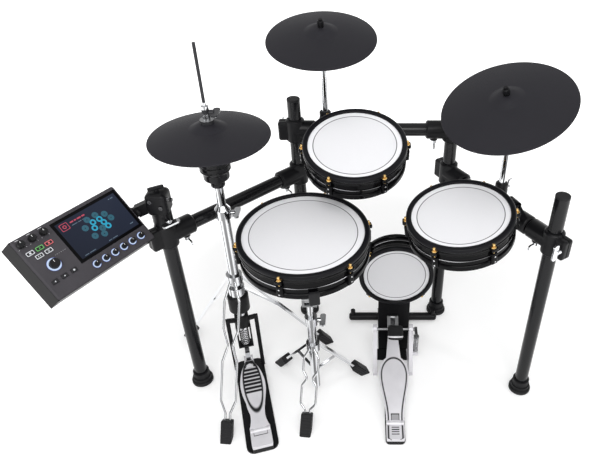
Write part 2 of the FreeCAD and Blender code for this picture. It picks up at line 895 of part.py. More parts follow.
def tom_mount(frame, head_d, out, rail_point, along):
    """Rail sleeve with a tongue that carries the pad's pivot pin."""
    pivot = frame.multVec(pivot_point(head_d, out))
    across = frame.Rotation.multVec(UP.cross(out))
    half_pin = tongue_w / 2 + clear + pivot_ear_t
    tongue = bar(pivot, rail_point, tongue_w, tongue_d, across)
    eye = rod(pivot - across * (tongue_w / 2), pivot + across * (tongue_w / 2), pivot_eye_r)
    pin = rod(pivot - across * half_pin, pivot + across * half_pin, pivot_pin_r)
    body = fuse([rail_sleeve(rail_point, along), tongue, eye, pin])
    return body.cut(rail_bore(rail_point, along))


def add_pad(name, frame, head_d, depth, turn, count, out=None):
    """Put a pad's shell, hoop and head into the list of nodes."""
    cup, cone = pad_shell(head_d, depth, turn, count)
    if out is not None:
        ears, bore = pivot_ears(head_d, out)
        cup = fuse([cup] + ears).cut(bore)
    nodes[name + "_shell"] = placed(group([cup, cone]), frame)
    nodes[name + "_hoop"] = placed(pad_hoop(head_d, turn, count), frame)
    nodes[name + "_head"] = placed(pad_head(head_d), frame)


def local_out(frame, target):
    """Level-in-the-pad direction from a pad's axis towards a world point."""
    reach = frame.inverse().multVec(target)
    return unit(V(reach.x, reach.y, 0))


kick_face = V(0, kick_y, kick_z)
snare_frame = tilted(V(snare_x, snare_y, snare_z), snare_tilt, toward_player)
tom_high_frame = tilted(V(tom_high_x, tom_high_y, tom_high_z), tom_high_tilt, toward_player)
tom_low_frame = tilted(V(tom_low_x, tom_low_y, tom_low_z), tom_low_tilt, heading(tom_low_heading))
kick_frame = seat(kick_face, toward_player, V(1, 0, 0))
tom_high_rail = V(tom_high_x, rear_y, rear_rail_z)
tom_low_rail = at(right_front, side_rail_z) - right_along * (tom_low_from_post + web_r)
tom_high_out = local_out(tom_high_frame, tom_high_rail)
tom_low_out = local_out(tom_low_frame, tom_low_rail)

add_pad("snare", snare_frame, snare_head_d, snare_depth, snare_lug_turn, lug_count)
add_pad("tom_high", tom_high_frame, tom_head_d, tom_depth, tom_high_lug_turn, lug_count, tom_high_out)
add_pad("tom_low", tom_low_frame, tom_head_d, tom_depth, tom_low_lug_turn, lug_count, tom_low_out)
add_pad("kick", kick_frame, kick_head_d, kick_depth, kick_lug_turn, kick_lug_count)
nodes["kick_shell"] = group(nodes["kick_shell"].Solids + nodes.pop("kick_hoop").Solids)
clamps += [tom_mount(tom_high_frame, tom_head_d, tom_high_out, tom_high_rail, rear_along),
           tom_mount(tom_low_frame, tom_head_d, tom_low_out, tom_low_rail, right_along)]


# Tripod stands

def leg_end(axis, angle, top_z, collar_r, foot_radius):
    """Upper end, slope direction and foot joint of a leg that runs down to the floor."""
    out = heading(angle)
    top = at(axis, top_z) + out * (collar_r - leg_t / 2)
    slope = unit(axis + out * foot_radius - top)
    return top, slope, axis + out * foot_radius - slope * leg_foot_len


def leg_foot(axis, angle, top_z, collar_r, foot_radius):
    """Rubber foot: a block in line with the leg, cut flat on the floor."""
    top, slope, joint = leg_end(axis, angle, top_z, collar_r, foot_radius)
    side = UP.cross(heading(angle))
    foot = bar(joint, joint + slope * (leg_foot_len + leg_foot_t), leg_foot_w, leg_foot_t, side)
    foot = foot.makeFillet(leg_foot_edge, foot.Edges)
    wide = 4 * leg_foot_len
    floor_cut = block(wide, wide, wide, at(joint, -wide))
    return foot.cut(floor_cut)


def flat_leg(axis, angle, top_z, collar_r, foot_radius, brace_z, brace_r):
    """Channel-bar leg with its brace down to the lower hub."""
    top, slope, joint = leg_end(axis, angle, top_z, collar_r, foot_radius)
    side = UP.cross(heading(angle))
    leg = bar(top, joint, leg_w, leg_t, side)
    hub = at(axis, brace_z) + heading(angle) * brace_r
    brace = bar(hub, top + slope * ((joint - top).Length / 2), brace_w, brace_t, side)
    return [leg, brace]


def wire_leg(axis, angle, top_z, collar_r, foot_radius):
    """Leg of two bent wires that pinch together halfway down."""
    top, slope, joint = leg_end(axis, angle, top_z, collar_r, foot_radius)
    side = UP.cross(heading(angle))
    run = (joint - top).Length
    wires = []
    for sign in (-1, 1):
        spread = side * sign * wire_spread
        pinch = side * sign * wire_pinch
        points = [top + pinch, top + slope * (run * 0.14) + spread, top + slope * (run * 0.34) + spread,
                  top + slope * (run * 0.46) + pinch, top + slope * (run * 0.58) + spread,
                  top + slope * (run * 0.86) + spread, top + slope * (run * 0.95) + pinch, joint + pinch]
        wires.append(bent_rod(points, wire_r, wire_bend))
    return wires


hat_feet_spec = [(hat_axis, angle, hat_leg_top, hat_leg_collar_r, hat_leg_radius)
                 for angle in hat_leg_angles + (hat_loop_angle,)]
hat_bore = rod(at(hat_axis, 0), at(hat_axis, hat_rod_top), hat_tube_bore)
hat_brace_z = hat_hub_low + hat_hub_h + brace_ring_h / 2


def hat_stand():
    """Chrome stand: upper tube, wing-bolt collar, lower tube, leg collar and legs."""
    collar_top = hat_collar_z + hat_collar_h / 2
    collar_low = hat_collar_z - hat_collar_h / 2
    leg_high = hat_leg_top + hat_leg_collar_h / 2
    leg_low = hat_leg_top - hat_leg_collar_h / 2
    upright = lathe([(0, hat_tube_low), (hat_lower_r, hat_tube_low), (hat_lower_r, leg_low),
                     (hat_leg_collar_r, leg_low), (hat_leg_collar_r, leg_high), (hat_lower_r, leg_high),
                     (hat_lower_r, collar_low), (hat_collar_r, collar_low), (hat_collar_r, collar_top),
                     (hat_upper_r, collar_top + hat_upper_r), (hat_upper_r, hat_neck_low), (0, hat_neck_low)])
    pieces = [placed(upright, FreeCAD.Placement(hat_axis, FreeCAD.Rotation()))]
    half_ring = UP * (brace_ring_h / 2)
    ring_at = at(hat_axis, hat_brace_z)
    pieces.append(rod(ring_at - half_ring, ring_at + half_ring, brace_ring_r))
    for angle in hat_leg_angles:
        pieces += flat_leg(hat_axis, angle, hat_leg_top, hat_leg_collar_r, hat_leg_radius,
                           hat_brace_z, brace_ring_r - brace_t)
    pieces += wire_leg(hat_axis, hat_loop_angle, hat_leg_top, hat_leg_collar_r, hat_leg_radius)
    bolts.append(wing_bolt(at(hat_axis, hat_collar_z) + V(hat_collar_r, 0, 0), V(1, 0, 0), V(0, 1, 0)))
    return fuse(pieces).cut(hat_bore)


def hat_controller():
    """Black sensor cup on top of the stand, round the pull rod."""
    cup = lathe([(hat_tube_bore, hat_neck_low), (hat_neck_r, hat_neck_low), (hat_neck_r, hat_cup_low),
                 (hat_cup_step_r, hat_cup_low), (hat_cup_step_r, hat_cup_step_z),
                 (hat_cup_r, hat_cup_step_z + hat_cup_bevel), (hat_cup_r, hat_cup_top - hat_cup_round),
                 (hat_cup_r - hat_cup_round, hat_cup_top), (hat_tube_bore, hat_cup_top)])
    return placed(cup, FreeCAD.Placement(hat_axis, FreeCAD.Rotation()))


hat_clutch_z = hat_rim_z + bell_top
hat_collar_low = cage_top - cage_t - clear - hat_spring_collar_h


def hat_rod():
    """Pull rod with its clutch, the nut under the cymbal and the strap that the footboard pulls."""
    cup_low = hat_clutch_z
    cup_high = cup_low + clutch_cup_h
    under = hat_clutch_z - cymbal_t
    rod_low = cage_low - clear
    collar_top = hat_collar_low + hat_spring_collar_h
    nut_low = under - clutch_nut_h
    neck_r = cymbal_hole_r - slip
    sleeve_top = cup_high + clutch_len
    profile = lathe([(0, rod_low), (hat_rod_r, rod_low), (hat_rod_r, hat_collar_low),
                     (hat_spring_collar_r, hat_collar_low), (hat_spring_collar_r, collar_top),
                     (hat_rod_r, collar_top), (hat_rod_r, nut_low), (clutch_r, nut_low),
                     (clutch_r, under - bell_crown), (neck_r, under), (neck_r, cup_low),
                     (clutch_cup_r, cup_low), (clutch_cup_r, cup_high), (clutch_r, cup_high),
                     (clutch_r, sleeve_top), (hat_rod_r, sleeve_top), (hat_rod_r, hat_rod_top),
                     (0, hat_rod_top)])
    stem = placed(profile, FreeCAD.Placement(hat_axis, FreeCAD.Rotation()))
    wing_at = at(hat_axis, cup_high + clutch_len / 2)
    wings = [wing_bolt(wing_at + V(clutch_r - wing_edge, 0, 0), V(1, 0, 0), V(0, 1, 0))]
    strap = link_strap(at(hat_axis, cage_low - clear), hat_toe_pin, hat_across)
    return fuse([stem, strap] + wings)


# Foot pedals

def link_strap(top, pin, across):
    """Flat pull strap with a window that leaves the toe pin room to swing."""
    low = V(pin.x, pin.y, pin.z - link_window_h / 2 - link_rim)
    run = at(low, top.z) - low
    level = unit(across.cross(UP))
    strap = bar(low, low + run, link_w, link_t, across)
    stirrup_top = low + UP * (link_window_h + 2 * link_rim)
    stirrup = bar(low, stirrup_top, link_w, link_window_w + 2 * link_rim, across)
    centre = V(pin.x, pin.y, pin.z)
    window = bar(centre - across * link_w, centre + across * link_w, link_window_w, link_window_h, level)
    neck_z = top.z - link_rim
    neck = bar(at(low, neck_z), at(top, neck_z) + level * clear, link_w, 2 * link_rim, across)
    return fuse([strap, stirrup, neck]).cut(window)


def pedal_board(length, reach, heel_half, outline):
    """Footboard, heel pin at the origin, tongue along +Y, with a raised tread and ears for the toe pin."""
    stations = [(heel_half, hinge_knuckle_r + clear)] + [(half, length * share) for half, share in outline]
    toe_y = reach - link_window_w / 2 - link_rim - toe_gap
    right = Part.BSplineCurve()
    right.interpolate([V(x, y, 0) for x, y in stations])
    left = Part.BSplineCurve()
    left.interpolate([V(-x, y, 0) for x, y in stations])
    heel_y = stations[0][1]
    tip = stations[-1][1]
    edges = [right.toShape(), Part.makeLine(V(board_tongue, tip, 0), V(board_tongue, toe_y, 0)),
             Part.makeLine(V(board_tongue, toe_y, 0), V(-board_tongue, toe_y, 0)),
             Part.makeLine(V(-board_tongue, toe_y, 0), V(-board_tongue, tip, 0)), left.toShape(),
             Part.makeLine(V(-heel_half, heel_y, 0), V(heel_half, heel_y, 0))]
    plate = Part.Face(Part.Wire(Part.__sortEdges__(edges))).extrude(UP * board_t)
    plate.translate(UP * -board_t / 2)
    knuckle_half = heel_half - hinge_ear_w - clear
    knuckle = rod(V(-knuckle_half, 0, 0), V(knuckle_half, 0, 0), hinge_knuckle_r)
    root = Part.makeBox(2 * knuckle_half, 2 * hinge_knuckle_r, board_t, V(-knuckle_half, 0, -board_t / 2))
    ears = []
    for sign in (-1, 1):
        inner = V(sign * toe_ear_gap / 2, reach, 0)
        outer = V(sign * (toe_ear_gap / 2 + toe_ear_t), reach, 0)
        arm_x = sign * (toe_ear_gap + toe_ear_t) / 2
        arm = bar(V(arm_x, toe_y - board_tongue, 0), V(arm_x, reach, 0), toe_ear_t, board_t, V(1, 0, 0))
        ears += [rod(inner, outer, board_t / 2), arm]
    pin_half = toe_ear_gap / 2 + toe_ear_t
    pin = rod(V(-pin_half, reach, 0), V(pin_half, reach, 0), toe_pin_r)
    body = fuse([plate, knuckle, root, pin] + ears)
    body = body.cut(rod(V(-heel_half, 0, 0), V(heel_half, 0, 0), hinge_pin_r + running))
    tread_half = max(half for half, share in outline) - tread_inset
    oval = [V(0, length * tread_low, board_t / 2), V(tread_half, length * tread_middle, board_t / 2),
            V(0, length * tread_high, board_t / 2), V(-tread_half, length * tread_middle, board_t / 2)]
    ring = Part.BSplineCurve()
    ring.interpolate(oval, PeriodicFlag=True)
    tread = Part.Face(Part.Wire(ring.toShape())).extrude(UP * tread_t)
    return group([body, tread])


def heel_plate(base_t, heel_z, half):
    """Heel plate behind the hinge, its ears holding the heel pin, standing on the base plate."""
    drop = heel_z - base_t
    corner = V(-half, -heel_len - hinge_knuckle_r - clear, -drop)
    foot = Part.makeBox(2 * half, heel_len, drop + heel_t / 2, corner)
    top_edges = [edge for edge in foot.Edges if edge.CenterOfMass.z > heel_t / 2 - pick]
    upright = [edge for edge in foot.Edges if abs(edge.tangentAt(0).z) > 0.9]
    corners = [edge for edge in upright if edge.CenterOfMass.y < -heel_len]
    foot = foot.makeFillet(heel_t / 2, top_edges + corners)
    ears = []
    for sign in (-1, 1):
        low = V(sign * (half - hinge_ear_w), 0, 0)
        high = V(sign * half, 0, 0)
        web_x = sign * (half - hinge_ear_w / 2)
        web = Part.makeBox(hinge_ear_w, 2 * hinge_knuckle_r + clear, drop,
                           V(web_x - hinge_ear_w / 2, -hinge_knuckle_r - 2 * clear, -drop))
        ears += [rod(low, high, hinge_knuckle_r), web]
    pin = rod(V(-half, 0, 0), V(half, 0, 0), hinge_pin_r)
    return fuse([foot, pin] + ears)


def pedal_frame(heel, toward_toe, slope):
    """Frame of a footboard: origin on the heel pin, local Y up the board."""
    rise = math.radians(slope)
    along = toward_toe * math.cos(rise) + UP * math.sin(rise)
    across = toward_toe.cross(UP)
    return seat(heel, across.cross(along), across)


hat_toward_heel = heading(hat_pedal_heading)
hat_across = UP.cross(hat_toward_heel)
hat_heel = at(hat_axis, hat_heel_z) + hat_toward_heel * hat_heel_reach
hat_board_frame = pedal_frame(hat_heel, hat_toward_heel * -1, hat_board_slope)
hat_toe_pin = hat_board_frame.multVec(V(0, hat_board_len, 0))
hat_level_frame = pedal_frame(hat_heel, hat_toward_heel * -1, 0)

axle = V(pedal_x, axle_y, axle_z)
crank_angle = math.radians(crank_rise)
crank_end = axle + V(0, math.cos(crank_angle), math.sin(crank_angle)) * crank_r
kick_heel = V(pedal_x, kick_heel_y, kick_heel_z)
kick_toe_pin = crank_end - UP * kick_link_len
kick_reach = (kick_toe_pin - kick_heel).Length
kick_slope = math.degrees(math.asin((kick_toe_pin.z - kick_heel.z) / kick_reach))
kick_board_frame = pedal_frame(kick_heel, V(0, 1, 0), kick_slope)
kick_level_frame = pedal_frame(kick_heel, V(0, 1, 0), 0)

hat_board = pedal_board(hat_board_len, hat_board_len, hat_heel_half, hat_outline)
kick_board = pedal_board(kick_board_len, kick_reach, kick_heel_half, kick_outline)
nodes["hat_footboard"] = placed(hat_board, hat_board_frame)
nodes["kick_footboard"] = placed(kick_board, kick_board_frame)
nodes["hat_stand"] = hat_stand()
nodes["hat_controller"] = hat_controller()
nodes["hat_rod"] = hat_rod()
nodes["hat_cymbal"] = placed(cymbal(hat_d, cymbal_hole_r), FreeCAD.Placement(at(hat_axis, hat_rim_z),
                                                                             FreeCAD.Rotation()))


def hat_pedal_frame():
    """Black base plate, yoke under the stand tube, spring cage and hub, with the heel plate."""
    along = hat_toward_heel
    front = at(hat_axis, 0) - along * hat_base_back
    back = at(hat_axis, 0) + along * (hat_heel_reach + heel_len + hinge_knuckle_r)
    base = bar(front + UP * hat_base_t / 2, back + UP * hat_base_t / 2, hat_base_w, hat_base_t, hat_across)
    base = base.makeFillet(hat_base_w / 4, [edge for edge in base.Edges if abs(edge.tangentAt(0).z) > 0.9])
    yoke = placed(turned(yoke_r, 0, yoke_z - yoke_h, hat_tube_low, yoke_edge),
                  FreeCAD.Placement(hat_axis, FreeCAD.Rotation()))
    pieces = [base, yoke]
    for sign in (-1, 1):
        shoulder = at(hat_axis, yoke_z) + hat_across * sign * (yoke_w - yoke_bar_w) / 2
        foot = at(shoulder, hat_base_t / 2)
        pieces.append(bar(foot, shoulder + UP * yoke_bar_t / 2, yoke_bar_w, yoke_bar_t, hat_across))
        pieces.append(bar(at(hat_axis, yoke_z - yoke_bar_t / 2), shoulder, yoke_bar_w, yoke_bar_t, along))
        wall = at(hat_axis, cage_low) + hat_across * sign * (cage_w - cage_t) / 2
        pieces.append(bar(wall, at(wall, cage_top), cage_t, cage_d, hat_across))
    for low in (cage_low, cage_top - cage_t):
        pieces.append(bar(at(hat_axis, low), at(hat_axis, low + cage_t), cage_w, cage_d, hat_across))
    bridge_low = cage_top - cage_t
    pieces.append(rod(at(hat_axis, bridge_low), at(hat_axis, yoke_z), yoke_r - yoke_bar_t))
    frame = fuse(pieces).cut(hat_bore)
    hub = turned(hat_hub_r, hat_lower_r + slip, hat_hub_low, hat_hub_low + hat_hub_h, clamp_bevel)
    hub = placed(hub, FreeCAD.Placement(hat_axis, FreeCAD.Rotation()))
    plate = placed(heel_plate(hat_base_t, hat_heel_z, hat_heel_half), hat_level_frame)
    return group([frame, hub, plate])


nodes["hat_pedal_frame"] = hat_pedal_frame()
hat_spring_low = cage_low + cage_t
nodes["hat_spring"] = spring("hat_spring", hat_spring_r, hat_spring_wire, hat_spring_coils,
                             at(hat_axis, hat_spring_low), at(hat_axis, hat_collar_low))


# Kick tower, kick pedal and beater

def kick_tower():
    """Upright plate with side flanges on a floor plate, saddles and a floor bar with spur screws."""
    plate_y = kick_face.y + kick_depth
    plate = Part.makeBox(tower_w, tower_t, tower_top, V(kick_face.x - tower_w / 2, plate_y, 0))
    base_end = floor_bar_y - floor_bar_d / 2 - saddle_wall
    base = Part.makeBox(tower_w, base_end - tower_base_front, tower_base_t,
                        V(kick_face.x - tower_w / 2, tower_base_front, 0))
    pieces = [plate, base]
    saddle_half = floor_bar_d / 2 + saddle_wall
    for sign in (-1, 1):
        flange_x = kick_face.x + sign * (tower_w - tower_t) / 2
        pieces.append(Part.makeBox(tower_t, tower_flange, tower_top, V(flange_x - tower_t / 2, plate_y, 0)))
        pieces.append(block(saddle_w, 2 * saddle_half + clear, floor_bar_d + saddle_wall,
                            V(kick_face.x + sign * (tower_w - saddle_w) / 2, floor_bar_y, 0)))
    half = floor_bar_len / 2
    left_tip = V(kick_face.x - half, floor_bar_y, floor_bar_d / 2)
    right_tip = V(kick_face.x + half, floor_bar_y, floor_bar_d / 2)
    tower = fuse(pieces).cut(rod(left_tip, right_tip, floor_bar_d / 2 + slip))
    tube = rod(left_tip, right_tip, floor_bar_d / 2)
    tube = tube.makeFillet(floor_bar_d / 3, tube.Edges)
    spurs = []
    for tip, sign in ((left_tip, 1), (right_tip, -1)):
        spot = at(tip, 0) + V(sign * spur_inset, 0, 0)
        knob_low = floor_bar_d + clear
        knob = rod(at(spot, knob_low), at(spot, spur_h), spur_knob_r)
        screw = rod(spot, at(spot, spur_h), spur_r)
        tube = tube.cut(rod(spot, at(spot, spur_h), spur_r + slip))
        spurs.append(fuse([screw, knob]))
    return group([tower, tube] + spurs)


def kick_pedal_frame():
    """Base plate, two cheek plates with axle bores, spring foot and heel plate."""
    half = side_post_gap / 2
    base_front = kick_heel_y - heel_len - hinge_knuckle_r - clear
    base = Part.makeBox(kick_base_w, tower_base_front - base_front, kick_base_t,
                        V(pedal_x - kick_base_w / 2, base_front, 0))
    base = base.makeFillet(board_tongue, [edge for edge in base.Edges if abs(edge.tangentAt(0).z) > 0.9
                                          and edge.CenterOfMass.y < kick_heel_y])
    cross_front = axle_y - side_post_d / 2
    cross = Part.makeBox(side_post_gap + 2 * side_post_w, tower_base_front - cross_front, kick_base_t,
                         V(pedal_x - half - side_post_w, cross_front, 0))
    pieces = [base, cross]
    for sign in (-1, 1):
        low_x = pedal_x + sign * (half + side_post_w / 2)
        crown = V(low_x, axle_y, side_post_top - side_post_d / 2)
        near_y = axle_y - side_post_d / 2
        far_y = axle_y + side_post_d / 2
        toe_y = near_y - cheek_reach
        side = [V(0, far_y, 0), V(0, far_y, crown.z), V(0, near_y, crown.z), V(0, toe_y, cheek_toe_h),
                V(0, toe_y, 0), V(0, far_y, 0)]
        cheek = Part.Face(Part.makePolygon(side)).extrude(V(side_post_w, 0, 0))
        half_plate = V(side_post_w / 2, 0, 0)
        cheek.translate(at(crown - half_plate, 0) - V(0, axle_y, 0))
        pieces += [cheek, rod(crown - half_plate, crown + half_plate, side_post_d / 2)]
    shelf_y = spring_y - spring_seat_r
    pieces.append(Part.makeBox(rocker_x + spring_seat_r - pedal_x - half, axle_y - shelf_y, spring_foot_h,
                               V(pedal_x + half, shelf_y, spring_low_z - spring_foot_h)))
    body = fuse(pieces)
    reach = half + 2 * side_post_w
    body = body.cut(rod(axle - V(reach, 0, 0), axle + V(reach, 0, 0), axle_r + running))
    return group([body, placed(heel_plate(kick_base_t, kick_heel_z, kick_heel_half), kick_level_frame)])


beater_angle = math.radians(beater_lean)
beater_way = V(0, -math.sin(beater_angle), math.cos(beater_angle))
strike_way = V(0, math.cos(beater_angle), math.sin(beater_angle))
beater_centre = axle + beater_way * beater_len
spring_seat_r = kick_spring_r + kick_spring_wire
rocker_x = pedal_x + side_post_gap / 2 + side_post_w + 2 * clear + spring_seat_r
spring_y = axle_y - rocker_r
spring_top_z = axle_z - rocker_eye_r
spring_low_z = spring_top_z - kick_spring_len


def kick_beater():
    """Axle with its hub, crank, beater shaft and the rocker that stretches the spring."""
    left_x = pedal_x - side_post_gap / 2 - side_post_w
    right_x = rocker_x + rocker_w / 2
    shaft = rod(V(left_x, axle_y, axle_z), V(right_x, axle_y, axle_z), axle_r)
    hub = rod(axle - V(axle_hub_w / 2, 0, 0), axle + V(axle_hub_w / 2, 0, 0), axle_hub_r)
    side = V(1, 0, 0)
    half_fork = link_w / 2 + clear + crank_w / 2
    pieces = [shaft, hub]
    for sign in (-1, 1):
        shift = side * sign * half_fork
        pieces.append(bar(axle + shift, crank_end + shift, crank_w, 2 * crank_eye_r, side))
        pieces.append(rod(crank_end + shift - side * (crank_w / 2), crank_end + shift + side * (crank_w / 2),
                          crank_eye_r))
    pin_half = side * (half_fork + crank_w / 2)
    pieces.append(rod(crank_end - pin_half, crank_end + pin_half, toe_pin_r))
    pieces.append(rod(axle, beater_centre + beater_way * (beater_head_r - clear), beater_rod_r))
    rocker = V(rocker_x, axle_y, axle_z)
    rocker_end = V(rocker_x, spring_y, axle_z)
    pieces.append(bar(rocker, rocker_end, rocker_w, 2 * rocker_eye_r, side))
    pieces.append(rod(at(rocker_end, spring_top_z), rocker_end, spring_seat_r))
    pieces.append(rod(rocker - side * (rocker_w / 2), rocker + side * (rocker_w / 2), rocker_eye_r + clear))
    return fuse(pieces)


def beater_head():
    """Round beater with a bore for the shaft, its axis along the stroke."""
    low = beater_centre - strike_way * (beater_head_len / 2)
    high = beater_centre + strike_way * (beater_head_len / 2)
    head = rod(low, high, beater_head_r)
    head = head.makeFillet(beater_head_round, head.Edges)
    bore_end = beater_centre + beater_way * (beater_head_r - clear + slip)
    return head.cut(rod(axle, bore_end, beater_rod_r + slip))


def kick_link():
    """Drive link from the crank pin down to the toe pin of the footboard."""
    strap = link_strap(at(crank_end, crank_end.z), kick_toe_pin, V(1, 0, 0))
    half = V(link_w / 2, 0, 0)
    eye = rod(crank_end - half, crank_end + half, crank_eye_r)
    body = fuse([strap, eye])
    return body.cut(rod(crank_end - half * 2, crank_end + half * 2, toe_pin_r + running))


nodes["kick_tower"] = kick_tower()
nodes["kick_pedal_frame"] = kick_pedal_frame()
nodes["kick_beater"] = kick_beater()
nodes["beater_head"] = beater_head()
nodes["kick_link"] = kick_link()
nodes["kick_spring"] = spring("kick_spring", kick_spring_r, kick_spring_wire, kick_spring_coils,
                              V(rocker_x, spring_y, spring_low_z), V(rocker_x, spring_y, spring_top_z))


# Snare stand and basket

snare_hub = snare_frame.multVec(V(0, 0, -snare_stand_drop))
snare_axis = at(snare_hub, 0)
snare_feet_spec = [(snare_axis, angle, snare_leg_top, snare_leg_collar_r, snare_leg_radius)
                   for angle in snare_leg_angles + (snare_loop_angle,)]


def snare_stand():
    """Lower tube with its wing-bolt collar, leg collar, brace hub and legs."""
    high = snare_collar_z + snare_collar_h / 2
    low = snare_collar_z - snare_collar_h / 2
    leg_high = snare_leg_top + snare_leg_collar_h / 2
    leg_low = snare_leg_top - snare_leg_collar_h / 2
    bore = snare_upper_r + running
    upright = lathe([(bore, snare_lower_low), (snare_lower_r, snare_lower_low), (snare_lower_r, leg_low),
                     (snare_leg_collar_r, leg_low), (snare_leg_collar_r, leg_high), (snare_lower_r, leg_high),
                     (snare_lower_r, low), (snare_collar_r, low), (snare_collar_r, high), (bore, high)])
    pieces = [placed(upright, FreeCAD.Placement(snare_axis, FreeCAD.Rotation()))]
    for angle in snare_leg_angles:
        pieces += flat_leg(snare_axis, angle, snare_leg_top, snare_leg_collar_r, snare_leg_radius,
                           snare_brace_z, snare_lower_r - brace_t / 2)
    pieces += wire_leg(snare_axis, snare_loop_angle, snare_leg_top, snare_leg_collar_r, snare_leg_radius)
    bolts.append(wing_bolt(at(snare_axis, snare_collar_z) + V(snare_collar_r, 0, 0), V(1, 0, 0), V(0, 1, 0)))
    return fuse(pieces).cut(rod(at(snare_axis, leg_low), at(snare_axis, high), bore))


def snare_post():
    """Telescopic tube with the fork that carries the basket's tilt pin."""
    side = V(1, 0, 0)
    near = basket_hub_w / 2 + clear
    fork_low = snare_hub.z - basket_hub_r - basket_fork_t
    tube = rod(at(snare_axis, snare_collar_z - snare_overlap), at(snare_axis, fork_low), snare_upper_r)
    fork_w = 2 * (near + basket_fork_t)
    bridge = block(fork_w, 2 * basket_hub_r, basket_fork_t - clear, at(snare_axis, fork_low))
    pieces = [tube, bridge]
    for sign in (-1, 1):
        inner = snare_hub + side * sign * near
        outer = snare_hub + side * sign * (near + basket_fork_t)
        middle = snare_hub + side * sign * (near + basket_fork_t / 2)
        pieces += [rod(inner, outer, basket_hub_r),
                   bar(at(middle, fork_low), middle, basket_fork_t, 2 * basket_hub_r, side)]
    pin_half = side * (near + basket_fork_t)
    pieces.append(rod(snare_hub - pin_half, snare_hub + pin_half, basket_pin_r))
    return fuse(pieces)


def basket_tip(angle):
    """Foot of a grip, in the snare's frame."""
    radius = snare_head_d / 2 + ring_out + slip + grip_t / 2
    return heading(angle) * radius - UP * (snare_depth + grip_lip)


def snare_basket():
    """Hub on the tilt pin with three arms that reach up to the snare's lower rim."""
    hub_at = V(0, 0, -snare_stand_drop)
    half = V(basket_hub_w / 2, 0, 0)
    pieces = [rod(hub_at - half, hub_at + half, basket_hub_r)]
    for angle in basket_angles:
        side = UP.cross(heading(angle))
        lift = hub_at + UP * (basket_hub_r + basket_fork_t)
        pieces.append(bar(lift, basket_tip(angle), basket_arm_w, basket_arm_t, side))
    pieces.append(rod(hub_at, hub_at + UP * (basket_hub_r + 2 * basket_fork_t), basket_hub_w / 2))
    hub = fuse(pieces).cut(rod(hub_at - half * 2, hub_at + half * 2, basket_pin_r + running))
    under = rod(V(0, 0, -snare_depth - grip_lip), V(0, 0, 0), snare_head_d)
    return placed(hub.cut(under), snare_frame)


def basket_grip(angle):
    """Rubber grip: a block outside the rim with a lip under the snare."""
    out = heading(angle)
    side = UP.cross(out)
    rim = snare_head_d / 2 + ring_out + slip
    low = basket_tip(angle)
    tall = bar(low, low + UP * grip_h, grip_w, grip_t, side)
    tall = tall.makeFillet(grip_t / 3, tall.Edges)
    lip_low = V(low) - out * (grip_t / 2 + grip_lip / 2)
    lip = bar(lip_low, lip_low + UP * (grip_lip - slip), grip_w, grip_lip + grip_t / 2, side)
    keep_out = rod(V(0, 0, -snare_depth - slip), V(0, 0, 0), rim)
    return placed(fuse([tall, lip]).cut(keep_out), snare_frame)


nodes["snare_stand"] = snare_stand()
nodes["snare_stand_post"] = snare_post()
nodes["snare_basket"] = snare_basket()
nodes["basket_grips"] = group([basket_grip(angle) for angle in basket_angles])
nodes["stand_feet"] = group([leg_foot(*spec) for spec in hat_feet_spec + snare_feet_spec])


# Sound module: local X along the long side, local Y up the slope, face at zero

module_l = control_w + screen_l + panel_side
module_w = panel_top + screen_w + knob_strip
screen_x = module_l / 2 - panel_side - screen_l / 2
screen_y = module_w / 2 - panel_top - screen_w / 2
module_along = heading(module_heading)
module_lean = math.radians(module_slope)
module_up = UP.cross(module_along) * math.cos(module_lean) + UP * math.sin(module_lean)
module_frame = seat(V(module_x, module_y, module_z), module_along.cross(module_up), module_along)
pin_depth = -module_h / 2
tilt_axis_point = module_frame.multVec(V(module_l / 2, 0, pin_depth))


def panel_spot(inward, down):
    """Place on the panel measured from its upper left corner."""
    return V(inward - module_l / 2, module_w / 2 - down, 0)


def volume_spot(index):
    """Place of a volume knob on the panel."""
    return panel_spot(volume_in + volume_pitch * index, volume_down)


def pad_knob_spot(index):
    """Place of a ring-lit knob in the row under the screen."""
    return V(screen_x - screen_l / 2 + pad_knob_in + pad_knob_pitch * index, pad_knob_up - module_w / 2, 0)


dial_spot = panel_spot(dial_in, dial_down)
knob_specs = [("volume_knob_%d" % (k + 1), volume_spot(k), volume_knob_r, volume_knob_h)
              for k in range(volume_count)]
knob_specs.append(("menu_dial", dial_spot, dial_r, dial_h))
knob_specs += [("pad_knob_%d" % (k + 1), pad_knob_spot(k), pad_knob_r, pad_knob_h)
               for k in range(pad_knob_count)]
key_specs = [("stop_button", panel_spot(key_in, key_down), key_l),
             ("play_button", panel_spot(key_in + key_pitch_x, key_down), key_l),
             ("record_button", panel_spot(key_in + 2 * key_pitch_x, key_down), key_l),
             ("click_button", panel_spot(key_in + key_pitch_x / 2, key_down + key_pitch_y), key_l),
             ("loop_button", panel_spot(key_in + key_pitch_x * 1.5, key_down + key_pitch_y), key_l),
             ("left_button", panel_spot(nav_in, nav_down), nav_l),
             ("right_button", panel_spot(nav_in + nav_pitch, nav_down), nav_l),
             ("enter_button", panel_spot(nav_in + 2 * nav_pitch, nav_down), nav_l)]


def knob(spot, radius, height):
    """Knob with a bevelled top on a shaft that runs down to the circuit board."""
    cap = turned(radius, 0, knob_lift, height, radius / 8)
    shaft = rod(V(0, 0, clear - circuit_depth), V(0, 0, 2 * knob_lift), knob_shaft_r)
    body = fuse([cap, shaft])
    body.translate(spot)
    return placed(body, module_frame)


